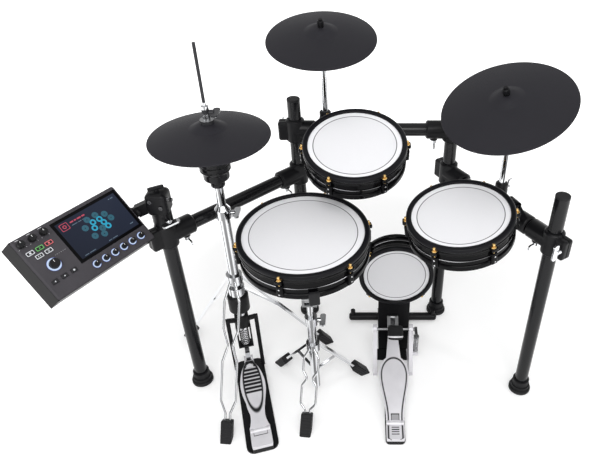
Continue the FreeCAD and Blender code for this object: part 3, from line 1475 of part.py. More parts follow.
def key(spot, length):
    """Button cap with a flange that keeps it under the panel."""
    low = -panel_t - key_flange - slip
    flange = block(length + 2 * key_lip, key_w + 2 * key_lip, key_flange, V(spot.x, spot.y, low))
    cap = block(length, key_w, key_proud - low, V(spot.x, spot.y, low))
    cap = cap.makeFillet(key_round, [edge for edge in cap.Edges if edge.CenterOfMass.z > key_proud - pick
                               or abs(edge.tangentAt(0).z) > 0.9])
    return placed(fuse([flange, cap]), module_frame)


def module_case():
    """Tray with a sloped end, jack sockets and tilt pin, a cover panel with openings, and a circuit board."""
    tray = soft_block(module_l, module_w, module_h + case_round, V(0, 0, -module_h), case_round)
    tray = tray.common(block(module_l, module_w, module_h - panel_t, V(0, 0, -module_h)))
    inner_l = module_l - 2 * case_wall
    inner_w = module_w - 2 * case_wall
    tray = tray.cut(block(inner_l, inner_w, module_h, V(0, 0, case_wall - module_h)))
    board_top = -circuit_depth
    board_low = board_top - circuit_t
    board = block(module_l - 2 * board_inset, module_w - 2 * board_inset, circuit_t, V(0, 0, board_low))
    end_x = -module_l / 2
    inner_x = end_x + case_round
    end = [V(inner_x, 0, -panel_t), V(end_x, 0, -panel_t), V(end_x - module_end_slope, 0, -module_h),
           V(inner_x, 0, -module_h), V(inner_x, 0, -panel_t)]
    wedge = Part.Face(Part.makePolygon(end)).extrude(V(0, module_w, 0))
    wedge.translate(V(0, -module_w / 2, 0))
    pieces = [tray, wedge]
    for x_sign in (-1, 1):
        for y_sign in (-1, 1):
            spot = V(x_sign * (module_l / 2 - 2 * board_inset), y_sign * (module_w / 2 - 2 * board_inset), 0)
            pieces.append(rod(spot - UP * (module_h - case_wall / 2), spot + UP * board_low, standoff_r))
    bores = []
    jack_z = -module_h / 2 - jack_r
    for index in range(jack_count):
        mouth = V(jack_pitch * (index - (jack_count - 1) / 2), module_w / 2, jack_z)
        inner = mouth - V(0, jack_len, 0)
        pieces.append(rod(mouth - V(0, case_wall / 2, 0), inner, jack_r + jack_wall))
        bores.append(rod(mouth, inner + V(0, jack_wall, 0), jack_r))
        board = board.cut(rod(mouth, inner - V(0, clear, 0), jack_r + jack_wall + clear))
    pin_start = V(module_l / 2 - case_wall, 0, pin_depth)
    pieces.append(rod(pin_start, V(module_l / 2 + tilt_flange_t, 0, pin_depth), tilt_flange_r))
    pieces.append(rod(pin_start, V(module_l / 2 + tilt_flange_t + tilt_pin_len, 0, pin_depth), tilt_pin_r))
    tray = fuse(pieces)
    for bore in bores:
        tray = tray.cut(bore)
    panel_low = -2 * case_round - panel_t
    panel = soft_block(module_l, module_w, -panel_low, V(0, 0, panel_low), case_round)
    panel = panel.common(block(module_l, module_w, panel_t, V(0, 0, -panel_t)))
    window_at = V(screen_x, screen_y, -module_h)
    panel = panel.cut(block(screen_l + 2 * slip, screen_w + 2 * slip, 2 * module_h, window_at))
    for name, spot, radius, height in knob_specs:
        panel = panel.cut(rod(spot - UP * module_h, spot + UP * module_h, knob_shaft_r + running))
    for name, spot, length in key_specs:
        window = block(length + 2 * key_gap, key_w + 2 * key_gap, 2 * module_h, spot - UP * module_h)
        panel = panel.cut(window)
    return placed(group([tray, panel, board]), module_frame)


def touch_screen():
    """Screen glass flush with the panel, backed by its display block."""
    glass = block(screen_l, screen_w, screen_t + screen_proud, V(screen_x, screen_y, -screen_t))
    top_edges = [edge for edge in glass.Edges if edge.CenterOfMass.z > 0]
    return placed(glass.makeChamfer(screen_proud, top_edges), module_frame)


def module_bracket():
    """Socket over the front post with its wing bolt, knuckle, arm and barrel for the module's tilt pin."""
    sleeve_low = left_post_top - bracket_sleeve_h
    sleeve_top = left_post_top + bracket_wall
    sleeve = rod(at(left_front, sleeve_low), at(left_front, sleeve_top), tube_r + bracket_wall)
    knuckle = soft_block(knuckle_l, knuckle_l, knuckle_h, at(left_front, left_post_top), knuckle_round)
    barrel_low = tilt_axis_point + module_along * (tilt_flange_t + clear)
    barrel_high = barrel_low + module_along * tilt_barrel_len
    barrel = rod(barrel_low, barrel_high, tilt_pin_r + tilt_barrel_wall)
    middle = (barrel_low + barrel_high) * 0.5
    arm_end = at(left_front, left_post_top + knuckle_h / 2)
    arm = bar(middle, arm_end, bracket_arm_w, tilt_barrel_len - 6 * clear, UP)
    body = fuse([sleeve, knuckle, arm, barrel])
    out = UP.cross(left_along)
    bolt_at = at(left_front, left_post_top - bracket_sleeve_h / 2) + out * (tube_r + bracket_wall)
    bolts.append(wing_bolt(bolt_at, out, left_along))
    body = body.cut(rod(at(left_front, sleeve_low), at(left_front, left_post_top), tube_r + slip))
    bore_end = barrel_high + module_along * tilt_pin_len
    return body.cut(rod(barrel_low - module_along, bore_end, tilt_pin_r + running))


nodes["module_bracket"] = module_bracket()
nodes["module_case"] = module_case()
nodes["touch_screen"] = touch_screen()
for name, spot, radius, height in knob_specs:
    nodes[name] = knob(spot, radius, height)
for name, spot, length in key_specs:
    nodes[name] = key(spot, length)

nodes["rack_clamps"] = group(clamps)
nodes["wing_bolts"] = group(bolts)
for name, shape in nodes.items():
    shape.exportStep("parts/" + name + ".step")
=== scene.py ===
import json
import math

import bmesh
import bpy
import numpy as np
from bpy.props import FloatProperty, FloatVectorProperty, IntProperty, PointerProperty
from mathutils import Euler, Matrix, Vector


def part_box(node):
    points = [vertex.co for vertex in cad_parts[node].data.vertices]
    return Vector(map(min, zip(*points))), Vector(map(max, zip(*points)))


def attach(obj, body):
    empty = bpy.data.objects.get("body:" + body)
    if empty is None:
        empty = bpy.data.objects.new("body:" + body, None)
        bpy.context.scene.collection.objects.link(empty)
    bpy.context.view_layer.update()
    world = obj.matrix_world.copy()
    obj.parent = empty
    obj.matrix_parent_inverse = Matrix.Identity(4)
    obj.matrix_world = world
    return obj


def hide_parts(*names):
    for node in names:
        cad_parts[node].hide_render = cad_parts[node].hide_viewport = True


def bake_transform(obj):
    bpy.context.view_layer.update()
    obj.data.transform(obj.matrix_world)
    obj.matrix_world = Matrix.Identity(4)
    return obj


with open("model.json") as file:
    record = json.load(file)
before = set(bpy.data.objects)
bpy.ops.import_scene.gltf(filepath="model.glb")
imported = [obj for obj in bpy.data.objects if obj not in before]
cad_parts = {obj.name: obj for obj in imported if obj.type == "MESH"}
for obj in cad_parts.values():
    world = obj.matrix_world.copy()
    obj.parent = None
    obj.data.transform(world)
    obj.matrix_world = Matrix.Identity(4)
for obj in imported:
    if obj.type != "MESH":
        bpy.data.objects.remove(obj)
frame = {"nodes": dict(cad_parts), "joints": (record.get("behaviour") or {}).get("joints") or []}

bl_info = {
    "name": "Electronic drum kit",
    "version": (1, 1, 0),
    "blender": (4, 5, 0),
    "location": "View3D > Sidebar > Drum kit",
    "description": "Dresses the packed drum kit: heads, hoops, cymbals, pedals, sound module and studio",
    "category": "Object",
}

NODES = frame["nodes"]
JOINTS = {joint["name"]: joint for joint in frame["joints"]}
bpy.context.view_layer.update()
PADS = {"snare": "snare", "tom_high": "tom_high", "tom_low": "tom_low", "kick": "rack"}
CYMBALS = {"crash_cymbal": "crash_plate", "ride_cymbal": "ride_plate", "hat_cymbal": "hat_rod"}
KNOBS = [name for name in NODES if "_knob_" in name]
KEYS = [name for name in NODES if name.endswith("_button")]
X_AXIS, Y_AXIS, Z_AXIS = np.eye(3)


# Settings

LENGTH = {"min": 0.0001, "unit": "LENGTH"}
PLACE = {"unit": "LENGTH"}
ANGLE = {"subtype": "ANGLE"}
POWER = {"min": 0.0, "subtype": "POWER"}
SHARE = {"min": 0.0, "max": 1.0, "subtype": "FACTOR"}
COLOUR = {"min": 0.0, "max": 1.0, "subtype": "COLOR"}


class PadSettings(bpy.types.PropertyGroup):
    """Sizes and colours of the pads"""
    hoop_width: FloatProperty(name="Hoop width", description="Width of the rubber hoop seen from above",
                              default=0.014, **LENGTH)
    hoop_rise: FloatProperty(name="Hoop rise", description="Height of the hoop above the head",
                             default=0.007, **LENGTH)
    hoop_drop: FloatProperty(name="Hoop drop", description="Depth of the hoop below the head",
                             default=0.016, **LENGTH)
    head_tuck: FloatProperty(name="Head tuck", description="Width of the head hidden under the hoop",
                             default=0.0055, **LENGTH)
    head_sag: FloatProperty(name="Head sag", description="Dip of the mesh at its middle",
                            default=0.0006, **LENGTH)
    line_share: FloatProperty(name="Printed line",
                              description="Radius of the printed line over the visible radius",
                              default=0.885, min=0.5, max=0.98)
    lug_step: FloatProperty(name="Lug step", description="Radius of the tension rods past the visible head",
                            default=0.015, **LENGTH)
    lug_count: IntProperty(name="Lugs", description="Tension rods round a drum pad", default=6, min=3)
    kick_lug_count: IntProperty(name="Kick lugs", description="Tension rods round the kick pad",
                                default=4, min=3)
    head_colour: FloatVectorProperty(name="Mesh", description="Colour of the mesh heads",
                                     default=(0.715, 0.715, 0.735), **COLOUR)
    hoop_colour: FloatVectorProperty(name="Hoop", description="Colour of the rubber hoops",
                                     default=(0.0045, 0.0045, 0.006), **COLOUR)
    shell_colour: FloatVectorProperty(name="Shell", description="Colour of the gloss shells",
                                      default=(0.002, 0.002, 0.0025), **COLOUR)
    brass_colour: FloatVectorProperty(name="Brass", description="Colour of the tension rods",
                                      default=(0.74, 0.50, 0.20), **COLOUR)


class CymbalSettings(bpy.types.PropertyGroup):
    """Form and colour of the cymbals"""
    thickness: FloatProperty(name="Thickness", description="Thickness of the rubber plate",
                             default=0.004, **LENGTH)
    bow_rise: FloatProperty(name="Bow rise", description="Rise from the rim to the bell's foot",
                            default=0.024, **LENGTH)
    bow_crown: FloatProperty(name="Bow crown", description="Bulge of the bow over a straight cone",
                             default=0.003, **LENGTH)
    bell_radius: FloatProperty(name="Bell radius", description="Radius of the bell's foot",
                               default=0.040, **LENGTH)
    bell_rise: FloatProperty(name="Bell rise", description="Height of the bell above the bow",
                             default=0.012, **LENGTH)
    hole_radius: FloatProperty(name="Hole", description="Radius of the hole", default=0.008, **LENGTH)
    groove_pitch: FloatProperty(name="Groove pitch", description="Distance between the moulded rings",
                                default=0.0021, **LENGTH)
    colour: FloatVectorProperty(name="Rubber", description="Colour of the cymbal rubber",
                                default=(0.0155, 0.015, 0.0185), **COLOUR)


class HardwareSettings(bpy.types.PropertyGroup):
    """Colours and forms of rack, stands and pedals"""
    tube_colour: FloatVectorProperty(name="Rack tube", description="Colour of the painted tubes",
                                     default=(0.006, 0.006, 0.007), **COLOUR)
    clamp_colour: FloatVectorProperty(name="Clamps", description="Colour of the moulded clamps",
                                      default=(0.007, 0.007, 0.008), **COLOUR)
    rubber_colour: FloatVectorProperty(name="Rubber", description="Colour of feet and grips",
                                       default=(0.012, 0.012, 0.013), **COLOUR)
    chrome_colour: FloatVectorProperty(name="Chrome", description="Colour of the plated stands",
                                       default=(0.86, 0.87, 0.89), **COLOUR)
    board_colour: FloatVectorProperty(name="Footboards", description="Colour of the cast footboards",
                                      default=(0.70, 0.69, 0.72), **COLOUR)
    felt_colour: FloatVectorProperty(name="Felt", description="Colour of the beater's felt",
                                     default=(0.010, 0.010, 0.011), **COLOUR)
    spring_sides: IntProperty(name="Spring sides", description="Faces round a spring's wire",
                              default=12, min=6)
    hat_slope: FloatProperty(name="Hi-hat board slope", description="Rise of the hi-hat footboard at rest",
                             default=math.radians(11.5), **ANGLE)
    kick_slope: FloatProperty(name="Kick board slope", description="Rise of the kick footboard at rest",
                              default=math.radians(16.0), **ANGLE)
    board_thickness: FloatProperty(name="Board thickness", description="Thickness of the packed footboards",
                                   default=0.007, **LENGTH)
    board_cover: FloatProperty(name="Board cover",
                               description="Height of the cast cover above the board's middle",
                               default=0.0061, **LENGTH)
    heel_length: FloatProperty(name="Heel plate", description="Length of the plate behind the heel hinge",
                               default=0.046, **LENGTH)
    hinge_radius: FloatProperty(name="Heel hinge", description="Radius kept free round the heel pin",
                                default=0.0079, **LENGTH)


class ModuleSettings(bpy.types.PropertyGroup):
    """Colours and lights of the sound module"""
    case_colour: FloatVectorProperty(name="Case", description="Colour of the module's case",
                                     default=(0.050, 0.047, 0.053), **COLOUR)
    screen_colour: FloatVectorProperty(name="Screen", description="Colour of the lit screen",
                                       default=(0.018, 0.023, 0.040), **COLOUR)
    mark_colour: FloatVectorProperty(name="Marks", description="Colour of the bright circles on the screen",
                                     default=(0.0, 0.36, 0.56), **COLOUR)
    warm_colour: FloatVectorProperty(name="Warm marks",
                                     description="Colour of the warm marks on the screen",
                                     default=(0.55, 0.05, 0.10), **COLOUR)
    ring_colour: FloatVectorProperty(name="Light rings", description="Colour of the rings round the knobs",
                                     default=(0.62, 0.76, 1.0), **COLOUR)
    bezel: FloatProperty(name="Bezel", description="Width of the black border of the screen",
                         default=0.0075, **LENGTH)
    glow: FloatProperty(name="Glow", description="Strength of the lit marks", default=1.0, min=0.0)
    flute_count: IntProperty(name="Flutes", description="Grip flutes round a knob", default=20, min=6)


class StageSettings(bpy.types.PropertyGroup):
    """Camera, floor and lamps"""
    camera_x: FloatProperty(name="Camera X", description="Camera's place across the kit",
                            default=-0.088, **PLACE)
    camera_y: FloatProperty(name="Camera Y", description="Camera's place in front of the kit",
                            default=-1.396, **PLACE)
    camera_z: FloatProperty(name="Camera height", description="Camera's height above the floor",
                            default=1.5, **PLACE)
    camera_pitch: FloatProperty(name="Camera pitch", description="Angle below the horizon",
                                default=math.radians(36.3), **ANGLE)
    lens: FloatProperty(name="Lens", description="Focal length in millimetres on a 36 mm sensor",
                        default=35.4, min=5.0)
    shift: FloatProperty(name="Shift", description="Sideways shift of the picture", default=-0.1133)
    floor_size: FloatProperty(name="Floor", description="Half width of the floor", default=14.0, **PLACE)
    floor_colour: FloatProperty(name="Floor grey", description="Share of light that the floor scatters",
                                default=0.85, **SHARE)
    floor_glow: FloatProperty(name="Floor white", description="White that is seen apart from light",
                              default=0.20, **SHARE)
    world_light: FloatProperty(name="Sky light", description="Strength of the even light",
                               default=0.66, min=0.0)
    zenith: FloatProperty(name="Overhead grey", description="Grey of the sky overhead in reflections",
                          default=0.25, **SHARE)
    key_power: FloatProperty(name="Soft box", description="Power of the large lamp overhead",
                             default=42.0, **POWER)
    fill_power: FloatProperty(name="Side fill", description="Power of the lamps at the sides",
                              default=11.0, **POWER)
    front_power: FloatProperty(name="Front fill", description="Power of the lamp behind the camera",
                               default=62.0, **POWER)

SETTINGS = (("kit_pads", PadSettings), ("kit_cymbals", CymbalSettings), ("kit_hardware", HardwareSettings),
            ("kit_module", ModuleSettings), ("kit_stage", StageSettings))


# Frames read from the packed nodes

def node_points(node):
    """Every distinct point of a node's mesh, in the row frame."""
    mesh = NODES[node].data
    flat = np.empty(len(mesh.vertices) * 3)
    mesh.vertices.foreach_get("co", flat)
    return np.unique(flat.reshape(-1, 3).round(6), axis=0)


def matrix(origin, x_axis, z_axis):
    """Four by four frame with columns x, y = z cross x, z and origin."""
    z_unit = z_axis / np.linalg.norm(z_axis)
    x_flat = x_axis - z_unit * (x_axis @ z_unit)
    x_unit = x_flat / np.linalg.norm(x_flat)
    result = np.eye(4)
    result[:3, 0] = x_unit
    result[:3, 1] = np.cross(z_unit, x_unit)
    result[:3, 2] = z_unit
    result[:3, 3] = origin
    return result


def within(points, place):
    """Points of the row frame in the axes of a local frame."""
    return (points - place[:3, 3]) @ place[:3, :3]


def moved(points, place):
    """Points of a local grid put into the row frame."""
    return points @ place[:3, :3].T + place[:3, 3]


def shifted(place, x, y, z, turn=0.0):
    """Frame moved in its own axes and turned about its own z."""
    step = np.eye(4)
    step[:3, 3] = (x, y, z)
    step[:2, :2] = ((math.cos(turn), -math.sin(turn)), (math.sin(turn), math.cos(turn)))
    return place @ step


def round_frame(node, towards):
    """Frame of a turned node: its axis is the direction in which the points spread least."""
    points = node_points(node)
    middle = points.mean(0)
    ways = np.linalg.eigh(np.cov((points - middle).T))[1]
    axis = ways[:, 0] * np.sign(ways[:, 0] @ towards)
    heights = (points - middle) @ axis
    radii = np.linalg.norm(points - middle - np.outer(heights, axis), axis=1)
    return middle, axis, heights, radii


def corners(node):
    """Lowest and highest corner of a node's box."""
    return (np.array(corner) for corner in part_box(node))


def lug_total(name):
    """Number of tension rods round a pad."""
    size = bpy.context.scene.kit_pads
    return size.kick_lug_count if name == "kick" else size.lug_count


def pad_frame(name):
    """Frame on a pad's playing face with x through a lug, and the radius of its whole head."""
    ear_depth = 0.002
    towards = -Y_AXIS if name == "kick" else Z_AXIS
    middle, axis, heights, radii = round_frame(name + "_head", towards)
    ring = node_points(name + "_shell" if name == "kick" else name + "_hoop")
    place = matrix(middle + axis * heights.max(), X_AXIS, axis)
    local = within(ring, place)
    reach = np.hypot(local[:, 0], local[:, 1])
    ears = local[reach > reach.max() - ear_depth]
    count = lug_total(name)
    phase = np.angle(np.exp(1j * count * np.arctan2(ears[:, 1], ears[:, 0])).mean()) / count
    lug_way = place[:3, 0] * math.cos(phase) + place[:3, 1] * math.sin(phase)
    return matrix(place[:3, 3], lug_way, axis), radii.max()


def cymbal_frame(node):
    """Frame on a cymbal's lower rim plane with z up its axis, and its radius."""
    middle, axis, heights, radii = round_frame(node, Z_AXIS)
    return matrix(middle + axis * heights.min(), X_AXIS, axis), radii.max()


def module_frame():
    """Frame on the screen's middle, x along the module and z out of it, and the screen's two sides."""
    along = np.array(JOINTS["module_tilt"]["axis"])
    out = np.array(JOINTS["menu_dial_turn"]["axis"])
    place = matrix(np.zeros(3), along, out)
    local = node_points("touch_screen") @ place[:3, :3]
    low, high = local.min(0), local.max(0)
    place[:3, 3] = place[:3, :3] @ np.array([(low[0] + high[0]) / 2, (low[1] + high[1]) / 2, high[2]])
    return place, (high - low)[:2]


def board_frame(joint, slope):
    """Frame of a footboard: origin on its heel pin, y up the board, z out of its tread."""
    across = -np.array(JOINTS[joint]["axis"])
    forward = np.cross(Z_AXIS, across)
    along = forward * math.cos(slope) + Z_AXIS * math.sin(slope)
    return matrix(np.array(JOINTS[joint]["pos_m"]), across, np.cross(across, along))


# Surfaces as grids of points with two parameters

def rounded(outline, radius, steps=5):
    """Outline whose inner corners become curves of the second degree between two trims and the corner."""
    longest_trim = 0.48
    outline = np.asarray(outline, float)
    share = np.linspace(0, 1, steps)[:, None]
    parts = [outline[:1]]
    for before, corner, after in zip(outline, outline[1:], outline[2:]):
        back = before - corner
        on = after - corner
        first = corner + back * min(longest_trim, radius / np.linalg.norm(back))
        last = corner + on * min(longest_trim, radius / np.linalg.norm(on))
        parts.append((1 - share) ** 2 * first + 2 * share * (1 - share) * corner + share ** 2 * last)
    parts.append(outline[-1:])
    return np.vstack(parts)


def turned(profile, place, segments=96, waves=0, wave_depth=0.0):
    """Surface of revolution: (r cos a, r sin a, z), r swelling by a cosine when waves are asked for.
    UV holds the share of a turn and the radius in metres."""
    profile = np.asarray(profile, float)
    angle = np.linspace(0, 2 * np.pi, segments + 1)
    radius = profile[:, :1] * (1 + wave_depth * np.cos(waves * angle))[None, :]
    height = np.broadcast_to(profile[:, 1:2], radius.shape)
    grid = np.stack([radius * np.cos(angle), radius * np.sin(angle), height], -1)
    turn = np.broadcast_to(angle / (2 * np.pi), radius.shape)
    uv = np.stack([turn, np.broadcast_to(profile[:, :1], radius.shape)], -1)
    return moved(grid, place), uv


def soft(value, power):
    """A sine or cosine raised to a small power that keeps its sign."""
    return np.sign(value) * np.abs(value) ** power


def soft_box(size, place, power=0.28, rows=14, columns=32):
    """Rounded block: a superellipsoid, each cosine and sine raised to a small power."""
    tilt = np.linspace(-np.pi / 2, np.pi / 2, rows)[:, None]
    angle = np.linspace(-np.pi, np.pi, columns + 1)[None, :]
    level = soft(np.cos(tilt), power)
    height = np.broadcast_to(soft(np.sin(tilt), power) * size[2] / 2, (rows, columns + 1))
    grid = np.stack([level * soft(np.cos(angle), power) * size[0] / 2,
                     level * soft(np.sin(angle), power) * size[1] / 2, height], -1)
    return moved(grid, place), grid[..., :2]


def rim_band(size, rim, low, high, place, power=0.22, columns=64):
    """Closed band along a rounded rectangle: a small oblong section carried round a superellipse."""
    angle = np.linspace(-np.pi, np.pi, columns + 1)
    way = np.stack([soft(np.cos(angle), power), soft(np.sin(angle), power)], -1)
    outer = way * (np.asarray(size) / 2)
    inner = way * (np.asarray(size) / 2 - rim)
    loops = [(outer, low), (outer, high), (inner, high), (inner, low), (outer, low)]
    grid = np.stack([np.column_stack([loop, np.full(columns + 1, height)]) for loop, height in loops])
    return moved(grid, place), grid[..., :2]


def prism(sides, radius, low, high, place):
    """Closed upright disc or polygon."""
    return turned([(0, low), (radius, low), (radius, high), (0, high)], place, sides)


def ring_band(inner, outer, low, high, place, segments=48):
    """Closed flat ring."""
    section = [(inner, low), (outer, low), (outer, high), (inner, high), (inner, low)]
    return turned(section, place, segments)


def coil(radius, wire, turns, low, high, sides):
    """Helix tube: a circle carried square to the path (r cos a, r sin a, rise a), with pointed ends."""
    steps_per_turn = 40
    path = np.linspace(0, 2 * np.pi * turns, turns * steps_per_turn + 1)
    angle = np.concatenate([path[:1], path, path[-1:]])[:, None]
    girth = np.concatenate([[0.0], np.full(len(path), wire / 2), [0.0]])[:, None]
    spin = np.linspace(0, 2 * np.pi, sides + 1)[None, :]
    height = low[2] + (high[2] - low[2]) * angle / (2 * np.pi * turns)
    slope = math.atan2(high[2] - low[2], 2 * np.pi * turns * radius)
    out = radius + girth * np.cos(spin)
    lift = girth * np.sin(spin)
    grid = np.stack([low[0] + out * np.cos(angle) + lift * math.sin(slope) * np.sin(angle),
                     low[1] + out * np.sin(angle) - lift * math.sin(slope) * np.cos(angle),
                     height + lift * math.cos(slope)], -1)
    uv = np.stack(np.broadcast_arrays(angle * radius, spin * wire / 2), -1)
    return grid, uv


def board_edge(node, place, thickness):
    """Half width of a packed footboard against the distance from its heel pin, read off its lower face."""
    face_tolerance, bin_length, notch_depth = 0.0001, 0.006, 0.004
    local = within(node_points(node), place)
    face = local[np.abs(local[:, 2] + thickness / 2) < face_tolerance]
    along, half = face[:, 1], np.abs(face[:, 0])
    bins = np.round(along / bin_length)
    order = np.lexsort((-half, bins))
    first = np.unique(bins[order], return_index=True)[1]
    along, half = along[order][first], half[order][first]
    share = (along[1:-1] - along[:-2]) / (along[2:] - along[:-2])
    chord = half[:-2] + share * (half[2:] - half[:-2])
    keep = np.concatenate([[True], half[1:-1] > chord - notch_depth, [True]])
    return along[keep], half[keep]


def plate(place, start, end, half_at, low, top, edge, relief, rows=190, columns=81):
    """Closed plate: a section with rounded edges carried along y, its half width a function of y.
    The relief gives the height and the mask of each point of the upper face."""
    arc_steps = 5
    level = np.linspace(-1, 1, columns)
    arc = np.linspace(0, np.pi / 2, arc_steps)
    zero = np.zeros(columns)
    one = np.ones(arc_steps)
    side = np.concatenate([level, one, one, level[::-1], -one, -one])
    out = edge * np.concatenate([zero, np.sin(arc), np.cos(arc), zero, -np.sin(arc), -np.cos(arc)])
    height = np.concatenate([zero + top, top - edge + edge * np.cos(arc), low + edge - edge * np.sin(arc),
                             zero + low, low + edge - edge * np.cos(arc), top - edge + edge * np.sin(arc)])
    upper = np.concatenate([zero + 1, one, 0 * one, zero, 0 * one, one])
    side, out, height, upper = (np.append(values, values[0]) for values in (side, out, height, upper))
    y = np.concatenate([[start], np.linspace(start, end, rows), [end]])[:, None]
    half = half_at(y)
    x = side * (half - edge) + out
    y = np.broadcast_to(y, x.shape)
    rise, dark = relief(x, y, half)
    z = height + rise * upper
    z[[0, -1]] = (low + top) / 2
    grid = np.stack([x, y, z], -1)
    return (moved(grid, place), grid[..., :2]), dark * upper


def quads_of(rows, columns, start=0):
    """Corner numbers of the quads of one grid."""
    index = np.arange(rows * columns).reshape(rows, columns) + start
    return np.stack([index[:-1, :-1], index[:-1, 1:], index[1:, 1:], index[1:, :-1]], -1).reshape(-1, 4)


def add_piece(name, surfaces, material, body, replaced=(), sharp=35, masks=None, bend=None):
    """One object from grids of quads: points, faces, UVs and masks are stacked as arrays, then edges that
    meet are merged. It rides its body; given a bend, its place is baked into its points and it rides no
    body."""
    merge_distance = 1e-6
    points, faces, uvs, start = [], [], [], 0
    for grid, uv in surfaces:
        rows, columns = grid.shape[:2]
        points.append(grid.reshape(-1, 3))
        uvs.append(np.broadcast_to(uv, (rows, columns, 2)).reshape(-1, 2))
        faces.append(quads_of(rows, columns, start))
        start += rows * columns
    mesh = bpy.data.meshes.new(name)
    corners = np.vstack(faces)
    mesh.from_pydata(np.vstack(points), [], corners)
    layer = mesh.uv_layers.new(name="Surface")
    layer.data.foreach_set("uv", np.vstack(uvs)[corners.reshape(-1)].reshape(-1))
    for label, values in (masks or {}).items():
        attribute = mesh.attributes.new(label, "FLOAT", "POINT")
        attribute.data.foreach_set("value", np.asarray(values, np.float32).reshape(-1))
    work = bmesh.new()
    work.from_mesh(mesh)
    bmesh.ops.remove_doubles(work, verts=work.verts, dist=merge_distance)
    bmesh.ops.recalc_face_normals(work, faces=work.faces)
    work.to_mesh(mesh)
    work.free()
    mesh.polygons.foreach_set("use_smooth", np.ones(len(mesh.polygons), bool))
    mesh.set_sharp_from_angle(angle=math.radians(sharp))
    mesh.materials.append(material)
    piece = bpy.data.objects.new(name, mesh)
    bpy.context.scene.collection.objects.link(piece)
    if bend:
        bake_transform(piece)
    else:
        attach(piece, body)
    if replaced:
        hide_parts(*replaced)
    return piece


# Node groups and materials

def new_group(name, inputs, outputs):
    """Empty shader group with named float inputs, each with its default, and named float outputs."""
    group = bpy.data.node_groups.new(name, "ShaderNodeTree")
    for label, default in inputs:
        socket = group.interface.new_socket(label, in_out="INPUT", socket_type="NodeSocketFloat")
        socket.default_value = default
    for label in outputs:
        group.interface.new_socket(label, in_out="OUTPUT", socket_type="NodeSocketFloat")
    return group, group.nodes.new("NodeGroupInput"), group.nodes.new("NodeGroupOutput")


def math_node(tree, operation, first, second=None):
    """Arithmetic node in a tree; each operand is a socket or a number."""
    node = tree.nodes.new("ShaderNodeMath")
    node.operation = operation
    for socket, value in zip(node.inputs, (first, second)):
        if isinstance(value, bpy.types.NodeSocket):
            tree.links.new(value, socket)
        elif value is not None:
            socket.default_value = value
    return node.outputs[0]


def range_node(tree, value, from_low, from_high, low, high):
    """A changing value carried from one range to another and held within it."""
    node = tree.nodes.new("ShaderNodeMapRange")
    node.inputs["From Min"].default_value = from_low
    node.inputs["From Max"].default_value = from_high
    node.inputs["To Min"].default_value = low
    node.inputs["To Max"].default_value = high
    tree.links.new(value, node.inputs["Value"])
    return node.outputs["Result"]


def noise_node(tree, vector, scale, detail):
    """Noise whose scale is a socket."""
    node = tree.nodes.new("ShaderNodeTexNoise")
    node.inputs["Detail"].default_value = detail
    tree.links.new(vector, node.inputs["Vector"])
    tree.links.new(scale, node.inputs["Scale"])
    return node.outputs["Fac"]


def coordinate(tree, kind="Object"):
    """Coordinates of the point that is shaded."""
    return tree.nodes.new("ShaderNodeTexCoord").outputs[kind]


def vector_node(tree, operation, vector, other=None):
    """Vector arithmetic node in a tree; the second operand is fixed."""
    node = tree.nodes.new("ShaderNodeVectorMath")
    node.operation = operation
    tree.links.new(vector, node.inputs[0])
    if other is not None:
        node.inputs[1].default_value = tuple(other)
    return node.outputs


def parts_of(tree, vector):
    """The three parts of a vector."""
    node = tree.nodes.new("ShaderNodeSeparateXYZ")
    tree.links.new(vector, node.inputs[0])
    return node.outputs


def surface_parts(tree):
    """The two parts of a piece's own UV map."""
    return parts_of(tree, tree.nodes.new("ShaderNodeUVMap").outputs["UV"])


def grain_group():
    """Moulded or painted skin: a fine noise for bump and a broad noise for tone."""
    group, inputs, outputs = new_group("kit_grain", (("Scale", 900.0), ("Broad", 9.0)), ("Height", "Tone"))
    place = coordinate(group)
    group.links.new(noise_node(group, place, inputs.outputs["Scale"], detail=3.0), outputs.inputs["Height"])
    group.links.new(noise_node(group, place, inputs.outputs["Broad"], detail=4.0), outputs.inputs["Tone"])
    return group


def wear_group():
    """Worn edges: how sharply the surface bends outwards, broken up by a noise."""
    group, inputs, outputs = new_group("kit_wear", (("Amount", 0.5), ("Scale", 120.0)), ("Mask",))
    nearly_flat, sharp_edge = 0.52, 0.62
    bend = group.nodes.new("ShaderNodeNewGeometry").outputs["Pointiness"]
    edge = range_node(group, bend, nearly_flat, sharp_edge, 0.0, 1.0)
    noise = noise_node(group, coordinate(group), inputs.outputs["Scale"], detail=2.0)
    broken = math_node(group, "MULTIPLY", edge, noise)
    group.links.new(math_node(group, "MULTIPLY", broken, inputs.outputs["Amount"]), outputs.inputs["Mask"])
    return group


def painted_reflection_group():
    """Painted reflection on plated metal: bands of dark and bright, a sine of the direction in which the
    surface faces, standing in for the surroundings that chrome reflects.
    """
    group, inputs, outputs = new_group("kit_painted_reflection", (("Bands", 7.0), ("Phase", 1.0)), ("Mask",))
    sweep = (0.80, 0.50, 0.33)
    darkest, brightest = -0.55, 0.65
    # Dark and bright bands set by the way each face points: a painted reflection.
    facing = vector_node(group, "DOT_PRODUCT", coordinate(group, "Normal"), sweep)["Value"]
    swing = math_node(group, "MULTIPLY", facing, inputs.outputs["Bands"])
    wave = math_node(group, "SINE", math_node(group, "ADD", swing, inputs.outputs["Phase"]))
    group.links.new(range_node(group, wave, darkest, brightest, 0.0, 1.0), outputs.inputs["Mask"])
    return group


def wave_of(group, value, pitch):
    """Sine with one period per pitch."""
    share = math_node(group, "DIVIDE", value, pitch)
    return math_node(group, "SINE", math_node(group, "MULTIPLY", share, 2 * math.pi))


def rings_group():
    """Concentric moulded rings: a sine of the radius kept in the UV map."""
    group, inputs, outputs = new_group("kit_rings", (("Pitch", 0.002),), ("Height",))
    radius = surface_parts(group)["Y"]
    group.links.new(wave_of(group, radius, inputs.outputs["Pitch"]), outputs.inputs["Height"])
    return group


